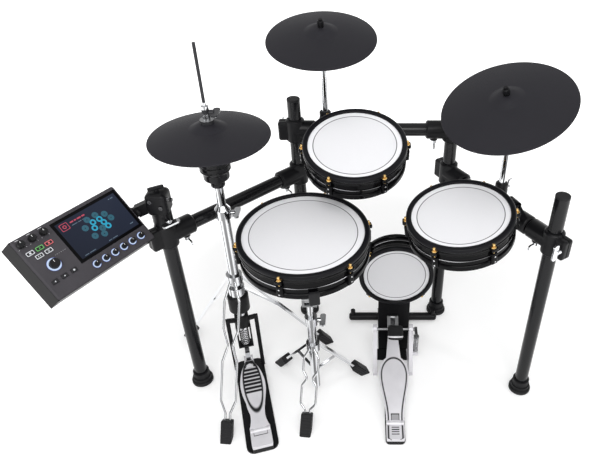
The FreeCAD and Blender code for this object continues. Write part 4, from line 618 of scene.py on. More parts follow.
def weave_group():
    """Plain mesh weave: the larger of two crossed sines of the UV map, in metres."""
    group, inputs, outputs = new_group("kit_weave", (("Pitch", 0.0011),), ("Height",))
    sides = surface_parts(group)
    waves = [wave_of(group, sides[axis], inputs.outputs["Pitch"]) for axis in ("X", "Y")]
    group.links.new(math_node(group, "MAXIMUM", *waves), outputs.inputs["Height"])
    return group


def ribs_group():
    """Level ribs moulded into rubber: a sine of the height above the floor."""
    group, inputs, outputs = new_group("kit_ribs", (("Pitch", 0.006),), ("Height",))
    height = parts_of(group, coordinate(group))["Z"]
    group.links.new(wave_of(group, height, inputs.outputs["Pitch"]), outputs.inputs["Height"])
    return group


def placed_group(material, name, builder, **values):
    """A shared group put into a material with its own values."""
    group = bpy.data.node_groups.get(name) or builder()
    node = material.node_tree.nodes.new("ShaderNodeGroup")
    node.node_tree = group
    for label, value in values.items():
        node.inputs[label].default_value = value
    return node.outputs


def blank(name, specular=0.3, rough=0.5):
    """New material and its main shader."""
    material = bpy.data.materials.new(name)
    material.use_nodes = True
    shader = material.node_tree.nodes["Principled BSDF"]
    shader.inputs["Specular IOR Level"].default_value = specular
    shader.inputs["Roughness"].default_value = rough
    return material, shader


def mixed(material, first, second, factor):
    """Mix of two colours, each a socket or a fixed colour, by a changing factor."""
    node = material.node_tree.nodes.new("ShaderNodeMix")
    node.data_type = "RGBA"
    for label, colour in (("A", first), ("B", second)):
        if isinstance(colour, bpy.types.NodeSocket):
            material.node_tree.links.new(colour, node.inputs[label])
        else:
            node.inputs[label].default_value = (*colour, 1)
    material.node_tree.links.new(factor, node.inputs["Factor"])
    return node.outputs["Result"]


def scaled(colour, share):
    """A fixed colour made darker or lighter."""
    return [min(1.0, value * share) for value in colour]


def ranged(material, value, low, high, from_low=0.0, from_high=1.0):
    """A changing value carried from one range to another."""
    return range_node(material.node_tree, value, from_low, from_high, low, high)


def bumped(material, shader, height, strength, distance):
    """Bump of a given depth on a shader's normal."""
    node = material.node_tree.nodes.new("ShaderNodeBump")
    node.inputs["Strength"].default_value = strength
    node.inputs["Distance"].default_value = distance
    material.node_tree.links.new(height, node.inputs["Height"])
    material.node_tree.links.new(node.outputs["Normal"], shader.inputs["Normal"])


def along_axis(material, origin, direction):
    """Distance of a point of the row frame from an origin, along a direction."""
    tree = material.node_tree
    offset = vector_node(tree, "SUBTRACT", coordinate(tree), origin)["Vector"]
    return vector_node(tree, "DOT_PRODUCT", offset, direction)["Value"]


def between(material, value, low, high, edge=0.0002):
    """Mask that is one between two values."""
    above = ranged(material, value, 0.0, 1.0, low - edge, low + edge)
    below = ranged(material, value, 1.0, 0.0, high - edge, high + edge)
    return math_node(material.node_tree, "MULTIPLY", above, below)


def painted(material, label):
    """Mask stored in a piece's points."""
    node = material.node_tree.nodes.new("ShaderNodeAttribute")
    node.attribute_name = label
    return node.outputs["Fac"]


def stored(label):
    """Maker of a mask that is stored in a piece's points."""
    return lambda material: painted(material, label)


def measured(material, place, axis):
    """Distance of a point from a frame's origin along one of the frame's axes."""
    return along_axis(material, place[:3, 3], place[:3, axis])


def toned(material, finish, noise):
    """Colour of a finish (colour, roughness, metallic): paint with a broad tone; full metal gets painted
    reflection bands.
    """
    dark_tone, light_tone, reflection_dark_share = 0.78, 1.22, 0.24
    colour, metal = finish[0], finish[2]
    if metal < 1:
        return mixed(material, scaled(colour, dark_tone), scaled(colour, light_tone), noise["Tone"])
    # Full metal: dark and bright bands by facing direction, a painted reflection.
    reflection_bands = placed_group(material, "kit_painted_reflection", painted_reflection_group)
    return mixed(material, scaled(colour, reflection_dark_share), colour, reflection_bands["Mask"])


def skin(name, finish, grain=900.0, depth=0.00004, wear=0.25, coat=0.0, specular=0.16, ribs=0.0):
    """General finish: toned colour (painted reflection bands on full metal) with lighter worn edges, rough
    by the same tone, fine bump or ribs.
    """
    wear_gain, wear_lift, rough_swing = 1.5, 0.015, 0.15
    material, shader = blank(name, specular)
    link = material.node_tree.links.new
    noise = placed_group(material, "kit_grain", grain_group, Scale=grain, Broad=11.0)
    worn = placed_group(material, "kit_wear", wear_group, Amount=wear, Scale=160.0)
    colour, rough, metal = finish
    edge = [min(1.0, value * wear_gain + wear_lift) for value in colour]
    link(mixed(material, toned(material, finish, noise), edge, worn["Mask"]), shader.inputs["Base Color"])
    smoothest, roughest = rough * (1 - rough_swing), min(1.0, rough * (1 + rough_swing))
    link(ranged(material, noise["Tone"], smoothest, roughest), shader.inputs["Roughness"])
    shader.inputs["Metallic"].default_value = metal
    shader.inputs["Coat Weight"].default_value = coat
    shader.inputs["Coat Roughness"].default_value = 0.08
    if ribs:
        rib = placed_group(material, "kit_ribs", ribs_group, Pitch=ribs)
        bumped(material, shader, rib["Height"], strength=0.8, distance=0.0009)
    else:
        bumped(material, shader, noise["Height"], strength=0.5, distance=depth)
    return material


def two_tone(name, mask_of, first, second, specular=0.16):
    """Two finishes on one node or piece, divided by a mask made inside the material."""
    material, shader = blank(name, specular)
    link = material.node_tree.links.new
    noise = placed_group(material, "kit_grain", grain_group, Scale=900.0, Broad=11.0)
    mask = mask_of(material)
    link(mixed(material, toned(material, first, noise), toned(material, second, noise), mask),
         shader.inputs["Base Color"])
    link(ranged(material, mask, first[1], second[1]), shader.inputs["Roughness"])
    link(ranged(material, mask, first[2], second[2]), shader.inputs["Metallic"])
    bumped(material, shader, noise["Height"], strength=0.4, distance=0.00003)
    return material


def glowing(name, colour, strength):
    """Lit mark: a plain lens whose light varies slightly over its area."""
    least_light, lens_colour = 0.85, (0.02, 0.02, 0.02)
    material, shader = blank(name, rough=0.4)
    noise = placed_group(material, "kit_grain", grain_group, Scale=400.0, Broad=60.0)
    light = mixed(material, scaled(colour, least_light), colour, noise["Tone"])
    material.node_tree.links.new(light, shader.inputs["Emission Color"])
    shader.inputs["Emission Strength"].default_value = strength
    shader.inputs["Base Color"].default_value = (*lens_colour, 1)
    return material


def dressed(material, *nodes, bevel=0.0):
    """Give packed nodes a material; edges, once welded, may be softened by a small bevel."""
    merge_distance, sharpest = 1e-6, math.radians(40)
    for node in nodes:
        piece = NODES[node]
        piece.data.materials.clear()
        piece.data.materials.append(material)
        if bevel:
            weld = piece.modifiers.new("Weld", "WELD")
            weld.merge_threshold = merge_distance
            edge = piece.modifiers.new("Edge", "BEVEL")
            edge.width = bevel
            edge.segments = 2
            edge.limit_method = "ANGLE"
            edge.angle_limit = sharpest


# Operators

class KIT_OT_rack(bpy.types.Operator):
    """Paint the rack tubes, clamps, feet and caps, and add the module bracket's screws and wing nut"""
    bl_idname = "kit.rack"
    bl_label = "Rack"

    def execute(self, context):
        tone = context.scene.kit_hardware
        tube = skin("satin_black_tube", (tone.tube_colour, 0.20, 0.0), wear=0.1, specular=0.26)
        clamp = skin("moulded_clamp", (tone.clamp_colour, 0.34, 0.0), grain=1400.0, depth=0.00006)
        rubber_wear = 0.35
        rubber = skin("black_rubber", (tone.rubber_colour, 0.55, 0.0), grain=700.0, depth=0.00008,
                      wear=rubber_wear)
        ribbed = skin("ribbed_rubber", (tone.rubber_colour, 0.50, 0.0), wear=rubber_wear, ribs=0.0075)
        dressed(tube, "rack_posts", "rack_rails")
        dressed(clamp, "rack_clamps", "module_bracket", bevel=0.0008)
        dressed(rubber, "post_ends", "basket_grips")
        dressed(ribbed, "stand_feet")
        self.bracket_trim(clamp)
        return {"FINISHED"}

    def bracket_trim(self, clamp):
        """Socket screws on two faces of the module bracket's knuckle and a wing nut on its top."""
        crown_depth, knuckle_half, knuckle_depth = 0.0005, 0.03, 0.02
        points = node_points("module_bracket")
        crown = points[points[:, 2] > points[:, 2].max() - crown_depth]
        middle = (crown.min(0) + crown.max(0)) / 2
        near = np.abs(points[:, 0] - middle[0]) < knuckle_half
        sides = points[near & (points[:, 2] > middle[2] - knuckle_depth)]
        front, right = sides[:, 1].min(), sides[:, 0].max()
        sunk, screw, screw_top, socket, socket_floor = -0.001, 0.0052, 0.0034, 0.0028, 0.0014
        head = rounded([(0, sunk), (screw, sunk), (screw, screw_top), (socket, screw_top),
                        (socket, socket_floor), (0, socket_floor)], 0.0006, 3)
        screw_spots = ((-0.012, 0.016), (0.012, 0.034))
        screws = []
        for side, drop in screw_spots:
            on_front = np.array([middle[0] + side, front, middle[2] - drop])
            on_right = np.array([right, middle[1] + side, middle[2] - drop])
            screws.append(turned(head, matrix(on_front, X_AXIS, -Y_AXIS), 32))
            screws.append(turned(head, matrix(on_right, Z_AXIS, X_AXIS), 32))
        steel = skin("socket_screw", ((0.10, 0.10, 0.105), 0.25, 0.8), depth=0.00001)
        add_piece("bracket_screws", screws, steel, "rack")
        wing_size, wing_rise, wing_turn = (0.040, 0.011, 0.0070), 0.0085, math.radians(30)
        foot, neck, neck_top, sunk = 0.007, 0.006, 0.006, -0.002
        top = shifted(np.eye(4), *middle, wing_turn)
        post = rounded([(0, sunk), (foot, sunk), (neck, neck_top), (0, neck_top)], 0.0008, 3)
        wing = soft_box(wing_size, shifted(top, 0, 0, wing_rise))
        add_piece("bracket_wing_nut", [turned(post, top, 40), wing], clamp, "rack")


class KIT_OT_stands(bpy.types.Operator):
    """Plate the stands and rods, paint the pedal frames and the kick tower, turn the hi-hat controller"""
    bl_idname = "kit.stands"
    bl_label = "Stands and rods"

    def execute(self, context):
        tone = context.scene.kit_hardware
        plate_finish = (tone.chrome_colour, 0.12, 1.0)
        black = (tone.clamp_colour, 0.35, 0.0)
        # Full-metal finishes below carry painted reflection bands from toned().
        chrome = skin("polished_chrome", plate_finish, grain=260.0, depth=0.000008, wear=0.1)
        dressed(chrome, "wing_bolts", "hat_stand", "snare_stand", "snare_stand_post", "snare_basket")
        steel = skin("brushed_steel", (scaled(tone.chrome_colour, 0.45), 0.3, 1.0), grain=260.0, wear=0.1)
        dressed(steel, "kick_beater", "kick_link")
        self.cymbal_rods(context.scene.kit_cymbals, plate_finish, black)
        # The dark finish is the real black of cup and collar, and a painted reflection on the rod above
        # them.
        self.hat_rod(plate_finish, ((0.035, 0.035, 0.038), 0.35, 0.3))
        self.pedal_frames(tone)
        self.controller(tone)
        return {"FINISHED"}

    def cymbal_rods(self, size, plate_finish, black):
        """Plated rods whose nut and end above the bell are black."""
        nut_sink, edge = 0.001, 0.0002
        nut_foot = size.bow_rise + size.bell_rise + size.thickness - nut_sink
        for name in ("crash", "ride"):
            place = cymbal_frame(name + "_cymbal")[0]

            def nut(material):
                height = measured(material, place, 2)
                return ranged(material, height, 0.0, 1.0, nut_foot - edge, nut_foot + edge)

            dressed(two_tone(name + "_rod_plate", nut, plate_finish, black), name + "_rod")

    def hat_rod(self, plate_finish, dark):
        """Plated pull rod: its clutch has a dark cup and a dark collar round a bright sleeve; above the
        clutch the chrome rod is painted dark, a painted reflection of dark surroundings.
        """
        bell_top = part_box("hat_cymbal")[1][2]

        def clutch(material):
            tree = material.node_tree
            height = along_axis(material, Z_AXIS * bell_top, Z_AXIS)
            cup = between(material, height, low=-0.003, high=0.009)
            collar = between(material, height, low=0.024, high=0.036)
            # Rod above the clutch: chrome painted dark, a painted reflection.
            above = ranged(material, height, 0.0, 1.0, from_low=0.0520, from_high=0.0524)
            return math_node(tree, "MAXIMUM", math_node(tree, "MAXIMUM", cup, collar), above)

        dressed(two_tone("hat_rod_plate", clutch, plate_finish, dark), "hat_rod")

    def pedal_frames(self, tone):
        """Black pedal frames and tower; the heels and the kick pedal's two cheeks are cast silver."""
        black = (tone.clamp_colour, 0.36, 0.0)
        silver = (tone.board_colour, 0.42, 0.25)
        dressed(skin("pedal_black", black), "kick_tower", bevel=0.0006)
        for name in ("kick", "hat"):
            level = board_frame(name + "_pedal", 0.0)

            def cast_parts(material):
                tree = material.node_tree
                side, along, height = (measured(material, level, axis) for axis in (0, 1, 2))
                behind = ranged(material, along, 1.0, 0.0, from_low=0.0084, from_high=0.0088)
                above = ranged(material, height, 0.0, 1.0, from_low=-0.0090, from_high=-0.0086)
                heel = math_node(tree, "MULTIPLY", behind, above)
                across = math_node(tree, "ABSOLUTE", side)
                cheeks = ranged(material, across, 0.0, 1.0, from_low=0.0490, from_high=0.0494)
                return math_node(tree, "MAXIMUM", heel, cheeks) if name == "kick" else heel

            paint = two_tone(name + "_frame_paint", cast_parts, black, silver)
            dressed(paint, name + "_pedal_frame", bevel=0.0006)

    def controller(self, tone):
        """Hi-hat controller: a gloss cup with turned grooves on a stepped neck."""
        low, high = corners("hat_controller")
        foot = np.array([*((low + high) / 2)[:2], low[2]])
        local = node_points("hat_controller") - foot
        reach = np.hypot(local[:, 0], local[:, 1])
        cup, bore, tall = reach.max(), reach.min(), high[2] - low[2]
        neck = [(0.40, 0), (0.47, 0.03), (0.47, 0.09), (0.43, 0.12), (0.43, 0.215), (0.80, 0.222),
                (0.84, 0.25), (0.84, 0.40), (0.90, 0.42)]
        groove, groove_shares, shoulder, lip = 0.0016, (0.50, 0.62, 0.80), 0.95, 0.86
        profile = [(bore, 0)]
        profile += [(cup * wide, tall * rise) for wide, rise in neck]
        for share in groove_shares:
            level = tall * share
            profile += [(cup, level - 2 * groove), (cup, level - groove)]
            profile += [(cup - groove, level), (cup, level + groove)]
        profile += [(cup, tall * shoulder), (cup * lip, tall), (bore, tall), (bore, 0)]
        gloss = skin("controller_gloss", (tone.tube_colour, 0.20, 0.0), wear=0.1, specular=0.2)
        surface = turned(rounded(profile, 0.0015, 3), matrix(foot, X_AXIS, Z_AXIS), 96)
        add_piece("hat_controller_cup", [surface], gloss, "rack", ("hat_controller",))


class KIT_OT_springs(bpy.types.Operator):
    """Wind the return springs of both pedals, each fixed in place between its seat and the part that moves
    it
    """
    bl_idname = "kit.springs"
    bl_label = "Springs"

    def execute(self, context):
        steel = skin("spring_steel", ((0.62, 0.62, 0.64), 0.2, 1.0), wear=0.1)
        sides = context.scene.kit_hardware.spring_sides
        for node, turns, wire, moving in (("hat_spring", 9, 0.003, "hat_rod"),
                                          ("kick_spring", 13, 0.002, "kick_beater")):
            low, high = corners(node)
            middle = (low + high) / 2
            radius = np.hypot(*(node_points(node)[:, :2] - middle[:2]).T).max() - wire / 2
            start = np.array([middle[0], middle[1], low[2] + wire / 2])
            end = np.array([middle[0], middle[1], high[2] - wire / 2])
            surface = coil(radius, wire, turns, start, end, sides)
            add_piece(node + "_coil", [surface], steel, "rack", (node,),
                      bend=("rack", moving, start, end))
        return {"FINISHED"}


class KIT_OT_heads(bpy.types.Operator):
    """Stretch a mesh head with its printed line over each pad"""
    bl_idname = "kit.heads"
    bl_label = "Mesh heads"

    def execute(self, context):
        size = context.scene.kit_pads
        line_half, line_room = 0.0012, 0.003
        cloth = mesh_material("white_mesh", size.head_colour)
        for name, body in PADS.items():
            place, radius = pad_frame(name)
            line = (radius - size.head_tuck) * size.line_share
            close = line + np.linspace(-line_room, line_room, 17)
            reach = np.unique(np.concatenate([np.linspace(0, radius, 56), close]))
            profile = np.stack([reach, -size.head_sag * (1 - (reach / radius) ** 2)], -1)
            grid = turned(profile, place, 144)[0]
            flags = {"ink": np.exp(-((reach - line) / line_half) ** 4), "rim": reach > line}
            masks = {label: np.broadcast_to(flag[:, None], grid.shape[:2]) for label, flag in flags.items()}
            surface = (grid, within(grid, place)[..., :2])
            head = add_piece(name + "_mesh", [surface], cloth, body, (name + "_head",),
                             masks=masks)
        return {"FINISHED"}


def mesh_material(name, colour):
    """Woven mesh: white threads with small dark gaps, a brighter rim and a thin printed line."""
    gap_tone, rim_low, rim_high = 0.86, 1.04, 1.12
    ink_colour = (0.05, 0.05, 0.055)
    material, shader = blank(name, specular=0.2, rough=0.7)
    weave = placed_group(material, "kit_weave", weave_group, Pitch=0.0011)
    noise = placed_group(material, "kit_grain", grain_group, Scale=300.0, Broad=7.0)
    thread = ranged(material, weave["Height"], 0.0, 1.0, from_low=-0.6, from_high=0.2)
    middle = mixed(material, scaled(colour, gap_tone), colour, thread)
    bright = mixed(material, scaled(colour, rim_low), scaled(colour, rim_high), noise["Tone"])
    cloth = mixed(material, middle, bright, painted(material, "rim"))
    printed = mixed(material, cloth, ink_colour, painted(material, "ink"))
    material.node_tree.links.new(printed, shader.inputs["Base Color"])
    bumped(material, shader, weave["Height"], strength=0.35, distance=0.00012)
    return material


class KIT_OT_hoops(bpy.types.Operator):
    """Fit the rubber hoops, their ears and the brass tension rods, and finish the shells"""
    bl_idname = "kit.hoops"
    bl_label = "Hoops and shells"

    def execute(self, context):
        size = context.scene.kit_pads
        rubber = (size.hoop_colour, 0.36, 0.0)
        gloss = (size.shell_colour, 0.16, 0.0)
        hoop = two_tone("hoop_rubber", stored("gloss"), rubber, gloss, specular=0.13)
        brass = skin("brass_rod", (size.brass_colour, 0.24, 0.9), depth=0.00001)
        screw = skin("chrome_screw", ((0.75, 0.75, 0.77), 0.15, 1.0), depth=0.00001)
        for name, body in PADS.items():
            place, radius = pad_frame(name)
            inner = radius - size.head_tuck
            dressed(self.shell_paint(name, place, inner, gloss), name + "_shell", bevel=0.0006)
            count = lug_total(name)
            spots = [shifted(place, 0, 0, 0, 2 * math.pi * index / count) for index in range(count)]
            self.hoop(name, body, place, inner, spots, size, hoop)
            self.rods(name, body, inner + size.lug_step, spots, brass, screw)
        return {"FINISHED"}

    def shell_paint(self, name, place, inner, gloss):
        """Gloss black with a painted highlight: a bright plated band round the middle of the shell, where a
        highlight line shows.
        """
        wall, highlight_low, highlight_high = 0.0125, -0.0365, -0.0345
        # Bright plated band that stands in for a highlight line: a painted highlight.
        highlight_metal = ((0.60, 0.60, 0.62), 0.2, 1.0)

        def highlight_band(material):
            tree = material.node_tree
            sides = [measured(material, place, axis) for axis in (0, 1)]
            squares = [math_node(tree, "MULTIPLY", side, side) for side in sides]
            reach = math_node(tree, "SQRT", math_node(tree, "ADD", *squares))
            ring = between(material, reach, inner, inner + wall)
            level = between(material, measured(material, place, 2), highlight_low, highlight_high)
            return math_node(tree, "MULTIPLY", ring, level)

        return two_tone(name + "_shell_paint", highlight_band, gloss, highlight_metal, specular=0.09)

    def hoop(self, name, body, place, inner, spots, size, material):
        """Ring with a soft rubber crown over a gloss flange, and an ear at each lug."""
        over_solid = 0.0004
        proud = over_solid if name == "kick" else 0.0
        rise, drop = size.hoop_rise, size.hoop_drop
        outer = inner + size.hoop_width
        inside, outside = inner - proud, outer + proud
        crown, seat, wall, deep, shallow = 0.004, 0.0003, 0.0060, 0.0016, 0.0010
        ear_size, ear_out, ear_lift = (0.017, 0.0184, 0.0096), 0.0012, 0.0046
        deep_groove, shallow_groove = outer - deep, outer - shallow
        section = [(inside, seat), (inside, rise * 0.75), (inner + crown, rise + proud),
                   (outer - crown, rise + proud), (outside, rise * 0.55), (outside, -drop * 0.24),
                   (deep_groove, -drop * 0.33), (deep_groove, -drop * 0.40), (outside, -drop * 0.46),
                   (outside, -drop * 0.74), (shallow_groove, -drop * 0.80), (outside, -drop * 0.86),
                   (outside, -drop - proud), (inner + wall, -drop - proud), (inner + wall, seat),
                   (inside, seat)]
        profile = rounded(section, 0.0030)
        surfaces = [turned(profile, place, 144)]
        flange = (profile[:, 1] < -drop * 0.3)[:, None]
        shine = [np.broadcast_to(flange, surfaces[0][0].shape[:2]).reshape(-1)]
        for spot in spots:
            ear = soft_box(ear_size, shifted(spot, outer + ear_out, 0, ear_lift - drop))
            surfaces.append(ear)
            shine.append(np.ones(ear[0].shape[0] * ear[0].shape[1]))
        replaced = () if name == "kick" else (name + "_hoop",)
        add_piece(name + "_rubber_hoop", surfaces, material, body, replaced,
                  masks={"gloss": np.concatenate(shine)})

    def hoop_slot(self, name):
        """Slot of a hoop; the kick pad's hoop is one with its shell."""
        return "shell_black" if name == "kick" else "hoop_grey"

    def rods(self, name, body, radius, spots, brass, screw):
        """Tension rod at each lug: washer, square head and shank, and two screws on the lug's face."""
        rods, screws = [], []
        shank, washer, washer_rim, collar = 0.0031, 0.0062, 0.0066, 0.0044
        foot, washer_low, washer_middle, washer_top = -0.0252, -0.0068, -0.0062, -0.0052
        collar_low, collar_top = -0.0048, -0.0030
        profile = [(0, foot), (shank, foot), (shank, washer_low), (washer, washer_low),
                   (washer_rim, washer_middle), (washer, washer_top), (collar, collar_low),
                   (collar, collar_top), (0, collar_top)]
        dome = [(0, -0.0004), (0.0024, -0.0004), (0.0023, 0.0004), (0.0014, 0.0010), (0, 0.0011)]
        square_head, head_lift = (0.0062, 0.0062, 0.0072), 0.0004
        face_out, screw_drops = 0.0060, (0.034, 0.050)
        for spot in spots:
            seat = shifted(spot, radius, 0, 0)
            rods.append(turned(profile, seat, 20))
            rods.append(soft_box(square_head, shifted(seat, 0, 0, head_lift), 0.35, 10, 16))
            for drop in screw_drops:
                face = shifted(seat, face_out, 0, -drop)
                screws.append(turned(dome, matrix(face[:3, 3], face[:3, 1], face[:3, 0]), 16))
        add_piece(name + "_tension_rods", rods, brass, body)
        add_piece(name + "_lug_screws", screws, screw, body)


class KIT_OT_cymbals(bpy.types.Operator):
    """Turn the three rubber cymbals with their moulded rings"""
    bl_idname = "kit.cymbals"
    bl_label = "Cymbals"

    def execute(self, context):
        size = context.scene.kit_cymbals
        rubber = cymbal_material(size)
        for node, body in CYMBALS.items():
            place, radius = cymbal_frame(node)
            surfaces = [turned(self.section(size, radius), place, 180)]
            if node != "hat_cymbal":
                surfaces.append(turned(self.cup(size), place, 48))
            add_piece(node + "_rubber", surfaces, rubber, body, (node,), sharp=50)
        return {"FINISHED"}

    def cup(self, size):
        """Closed profile of the moulded cup under the bell, round the hole."""
        top = size.bow_rise + size.bell_rise
        mouth, foot, wall, neck = 0.0121, 0.017, 0.018, 0.0085
        low, wall_low, neck_low, high = top - 0.011, top - 0.010, top - 0.004, top + 0.001
        return [(mouth, low), (foot, low), (wall, wall_low), (wall, high), (neck, high), (neck, neck_low),
                (mouth, low)]

    def section(self, size, rim):
        """Closed profile: bow a crowned slope, bell a raised cosine, the underside one thickness below."""
        bell_foot, bell_power = 1.22 * size.bell_radius, 1.35
        finer, half = 1.35 * size.bell_radius, size.thickness / 2
        bell_reach = np.linspace(size.hole_radius, finer, 40)
        reach = np.concatenate([bell_reach, np.linspace(finer, rim - half, 60)[1:]])
        slope = np.clip((rim - reach) / (rim - size.bell_radius), 0, None)
        bow = size.bow_rise * np.minimum(slope, 1) + 4 * size.bow_crown * np.clip(slope * (1 - slope), 0, 1)
        share = np.clip((reach - size.hole_radius) / (bell_foot - size.hole_radius), 0, 1)
        low = bow + size.bell_rise * (0.5 + 0.5 * np.cos(np.pi * share ** bell_power))
        swing = np.linspace(np.pi / 2, -np.pi / 2, 9)[1:-1]
        edge = np.stack([reach[-1] + half * np.cos(swing), low[-1] + half + half * np.sin(swing)], -1)
        top = np.stack([reach, low + size.thickness], -1)
        under = np.stack([reach, low], -1)[::-1]
        return np.vstack([top, edge, under, top[:1]])


def cymbal_material(size):
    """Matte rubber with fine concentric rings."""
    dark_tone, light_tone, ring_tone = 0.85, 1.2, 1.5
    material, shader = blank("cymbal_rubber", specular=0.14)
    link = material.node_tree.links.new
    rings = placed_group(material, "kit_rings", rings_group, Pitch=size.groove_pitch)
    noise = placed_group(material, "kit_grain", grain_group, Scale=700.0, Broad=8.0)
    tone = mixed(material, scaled(size.colour, dark_tone), scaled(size.colour, light_tone), noise["Tone"])
    line = ranged(material, rings["Height"], low=0.0, high=0.35, from_low=-1.0, from_high=1.0)
    link(mixed(material, tone, scaled(size.colour, ring_tone), line), shader.inputs["Base Color"])
    link(ranged(material, noise["Tone"], low=0.46, high=0.60), shader.inputs["Roughness"])
    bumped(material, shader, rings["Height"], strength=0.3, distance=0.00015)
    return material


class KIT_OT_pedals(bpy.types.Operator):
    """Cast covers of both footboards and heels, and the felt beater"""
    bl_idname = "kit.pedals"
    bl_label = "Footboards"

    def execute(self, context):
        size = context.scene.kit_hardware
        cast = (size.board_colour, 0.42, 0.25)
        rubber = (size.rubber_colour, 0.55, 0.0)
        silver = two_tone("cast_footboard", stored("dark"), cast, rubber)
        dressed(skin("cast_silver", cast, grain=500.0, depth=0.00005), "kick_footboard", "hat_footboard")
        self.board("kick", size.kick_slope, self.kick_face, self.kick_heel, silver, size)
        self.board("hat", size.hat_slope, self.hat_face, self.hat_heel, silver, size)
        self.beater(size)
        return {"FINISHED"}

    def board(self, name, slope, face, heel, material, size):
        """Cover shell of a footboard on its moving body and the heel cover behind the hinge."""
        toe_room, proud, board_round = 0.020, 0.0008, 0.0022
        heel_low, heel_top, heel_round, corner = -0.004, 0.0038, 0.0015, 0.006
        place = board_frame(name + "_pedal", slope)
        along, half = board_edge(name + "_footboard", place, size.board_thickness)
        start = size.hinge_radius + proud
        end = along.max() - toe_room

        def half_at(y):
            return np.interp(y, along, half) + proud

        under = -size.board_thickness / 2 - proud / 2
        shell, dark = plate(place, start, end, half_at, under, size.board_cover, board_round, face)
        add_piece(name + "_board_cover", [shell], material, name + "_pedal",
                  masks={"dark": dark})
        heel_half = half[along < 2 * size.hinge_radius].max() + proud
        back = -size.hinge_radius - size.heel_length - proud

        def heel_half_at(y):
            past = np.clip((corner - (y - back)) / corner, 0, 1)
            return heel_half - corner * (1 - np.sqrt(1 - past ** 2))

        level = board_frame(name + "_pedal", 0.0)
        shell, dark = plate(level, back, -size.hinge_radius, heel_half_at, heel_low, heel_top, heel_round,
                            heel, rows=60)
        add_piece(name + "_heel_cover", [shell], material, "rack", masks={"dark": dark})

    def toe_drop(self, y):
        """Fall of the cover towards the toe, a straight ramp."""
        depth, start, run = 0.0020, 0.030, 0.015
        return depth * np.clip((y - y.max() + start) / run, 0, 1)

    def kick_face(self, x, y, half):
        """Dark groove inside the outline, closed by an arch at the toe, and a window over the hinge."""
        inset, arch_low, arch_high, line_half, groove = 0.0068, 0.150, 0.207, 0.0024, 0.0002
        window_half, window_top, frame_half, frame_top, window_dark = 0.0105, 0.026, 0.0128, 0.0285, 0.55
        inner = half - inset
        wide = inner.max()
        up = np.clip(y - arch_low, 0, None) / (arch_high - arch_low)
        gap = np.where(y < arch_low, np.abs(x) - inner, (np.hypot(x / wide, up) - 1) * wide)
        line = np.exp(-(gap / line_half) ** 4)
        inside = (np.abs(x) < window_half) & (y < window_top)
        frame_line = (np.abs(x) < frame_half) & (y < frame_top) & ~inside
        dark = np.clip(line + frame_line + window_dark * inside, 0, 1)
        return -groove * line - self.toe_drop(y), dark

    def hat_face(self, x, y, half):
        """Oval groove round a ribbed rubber tread above a plain tongue."""
        middle, above, below, wide, line_half, groove = 0.150, 0.082, 0.089, 0.0268, 0.0026, 0.0002
        tread_low, rib_pitch, rib_level, rib_rise = 0.118, 0.0125, 0.45, 0.0008
        rib_bright, rib_inset = 0.78, 0.002
        run = np.where(y > middle, (y - middle) / above, (y - middle) / below)
        gap = (np.hypot(x / wide, run) - 1) * wide
        line = np.exp(-(gap / line_half) ** 4)
        tread = (gap < 0) & (y > tread_low)
        rib = tread & (np.cos(2 * np.pi * (y - tread_low) / rib_pitch) > rib_level)
        rise = -groove * line - groove * tread + rib_rise * rib - self.toe_drop(y)
        return rise, np.clip(line + tread - rib_bright * rib * (gap < -rib_inset), 0, 1)

    def kick_heel(self, x, y, half):
        """Four dark slots across the heel and a groove along its edge."""
        slot_half, slot_back, slot_front, slot_pitch, slot_level = 0.011, -0.041, -0.010, 0.0078, -0.25
        first_slot, slot_depth = -0.0105, 0.0006
        edge_inset, edge_half, edge_depth = 0.0062, 0.0026, 0.0005
        field = (np.abs(x) < slot_half) & (y > slot_back) & (y < slot_front)
        slot = field & (np.cos(2 * np.pi * (y - first_slot) / slot_pitch) < slot_level)
        edge = np.exp(-((half - np.abs(x) - edge_inset) / edge_half) ** 4)
        return -slot_depth * slot - edge_depth * edge, np.clip(slot + edge, 0, 1)

    def hat_heel(self, x, y, half):
        """Dark outline of the hinge pocket at the front of the heel."""
        pocket_half, pocket_back, line_width, line_depth = 0.0185, -0.0165, 0.0018, 0.0006
        inside = (np.abs(x) < pocket_half) & (y > pocket_back)
        line = (np.abs(x) < pocket_half + line_width) & (y > pocket_back - line_width) & ~inside
        return -line_depth * line, line.astype(float)

    def beater(self, size):
        """Felt beater turned about the stroke, with a pale rim at its back."""
        nap, round_steps, wall_steps, round_radius = 0.0004, 13, 32, 0.009
        rim_share, rim_half = 0.55, 0.0022
        low, high = corners("beater_head")
        middle = (low + high) / 2
        way = middle - np.array(JOINTS["kick_swing"]["pos_m"])
        place = matrix(middle, X_AXIS, np.array([0, way[2], -way[1]]))
        local = within(node_points("beater_head"), place)
        radius = np.hypot(local[:, 0], local[:, 1]).max() + nap
        tall = np.abs(local[:, 2]).max() + nap
        section = [(0, -tall), (radius, -tall), (radius, tall), (0, tall)]
        profile = rounded(section, round_radius, round_steps)
        foot, head = profile[round_steps:round_steps + 2]
        wall = np.linspace(foot, head, wall_steps)[1:-1]
        profile = np.vstack([profile[:round_steps + 1], wall, profile[round_steps + 1:]])
        grid, uv = turned(profile, place, 72)
        pale = np.exp(-((profile[:, 1] + rim_share * tall) / rim_half) ** 4)[:, None]
        felt = (size.felt_colour, 0.85, 0.0)
        rim = (size.board_colour, 0.4, 0.3)
        material = two_tone("beater_felt", stored("pale"), felt, rim)
        piece = add_piece("beater_felt_head", [(grid, uv)], material, "kick_beater",
                          ("beater_head",), masks={"pale": np.broadcast_to(pale, grid.shape[:2])})


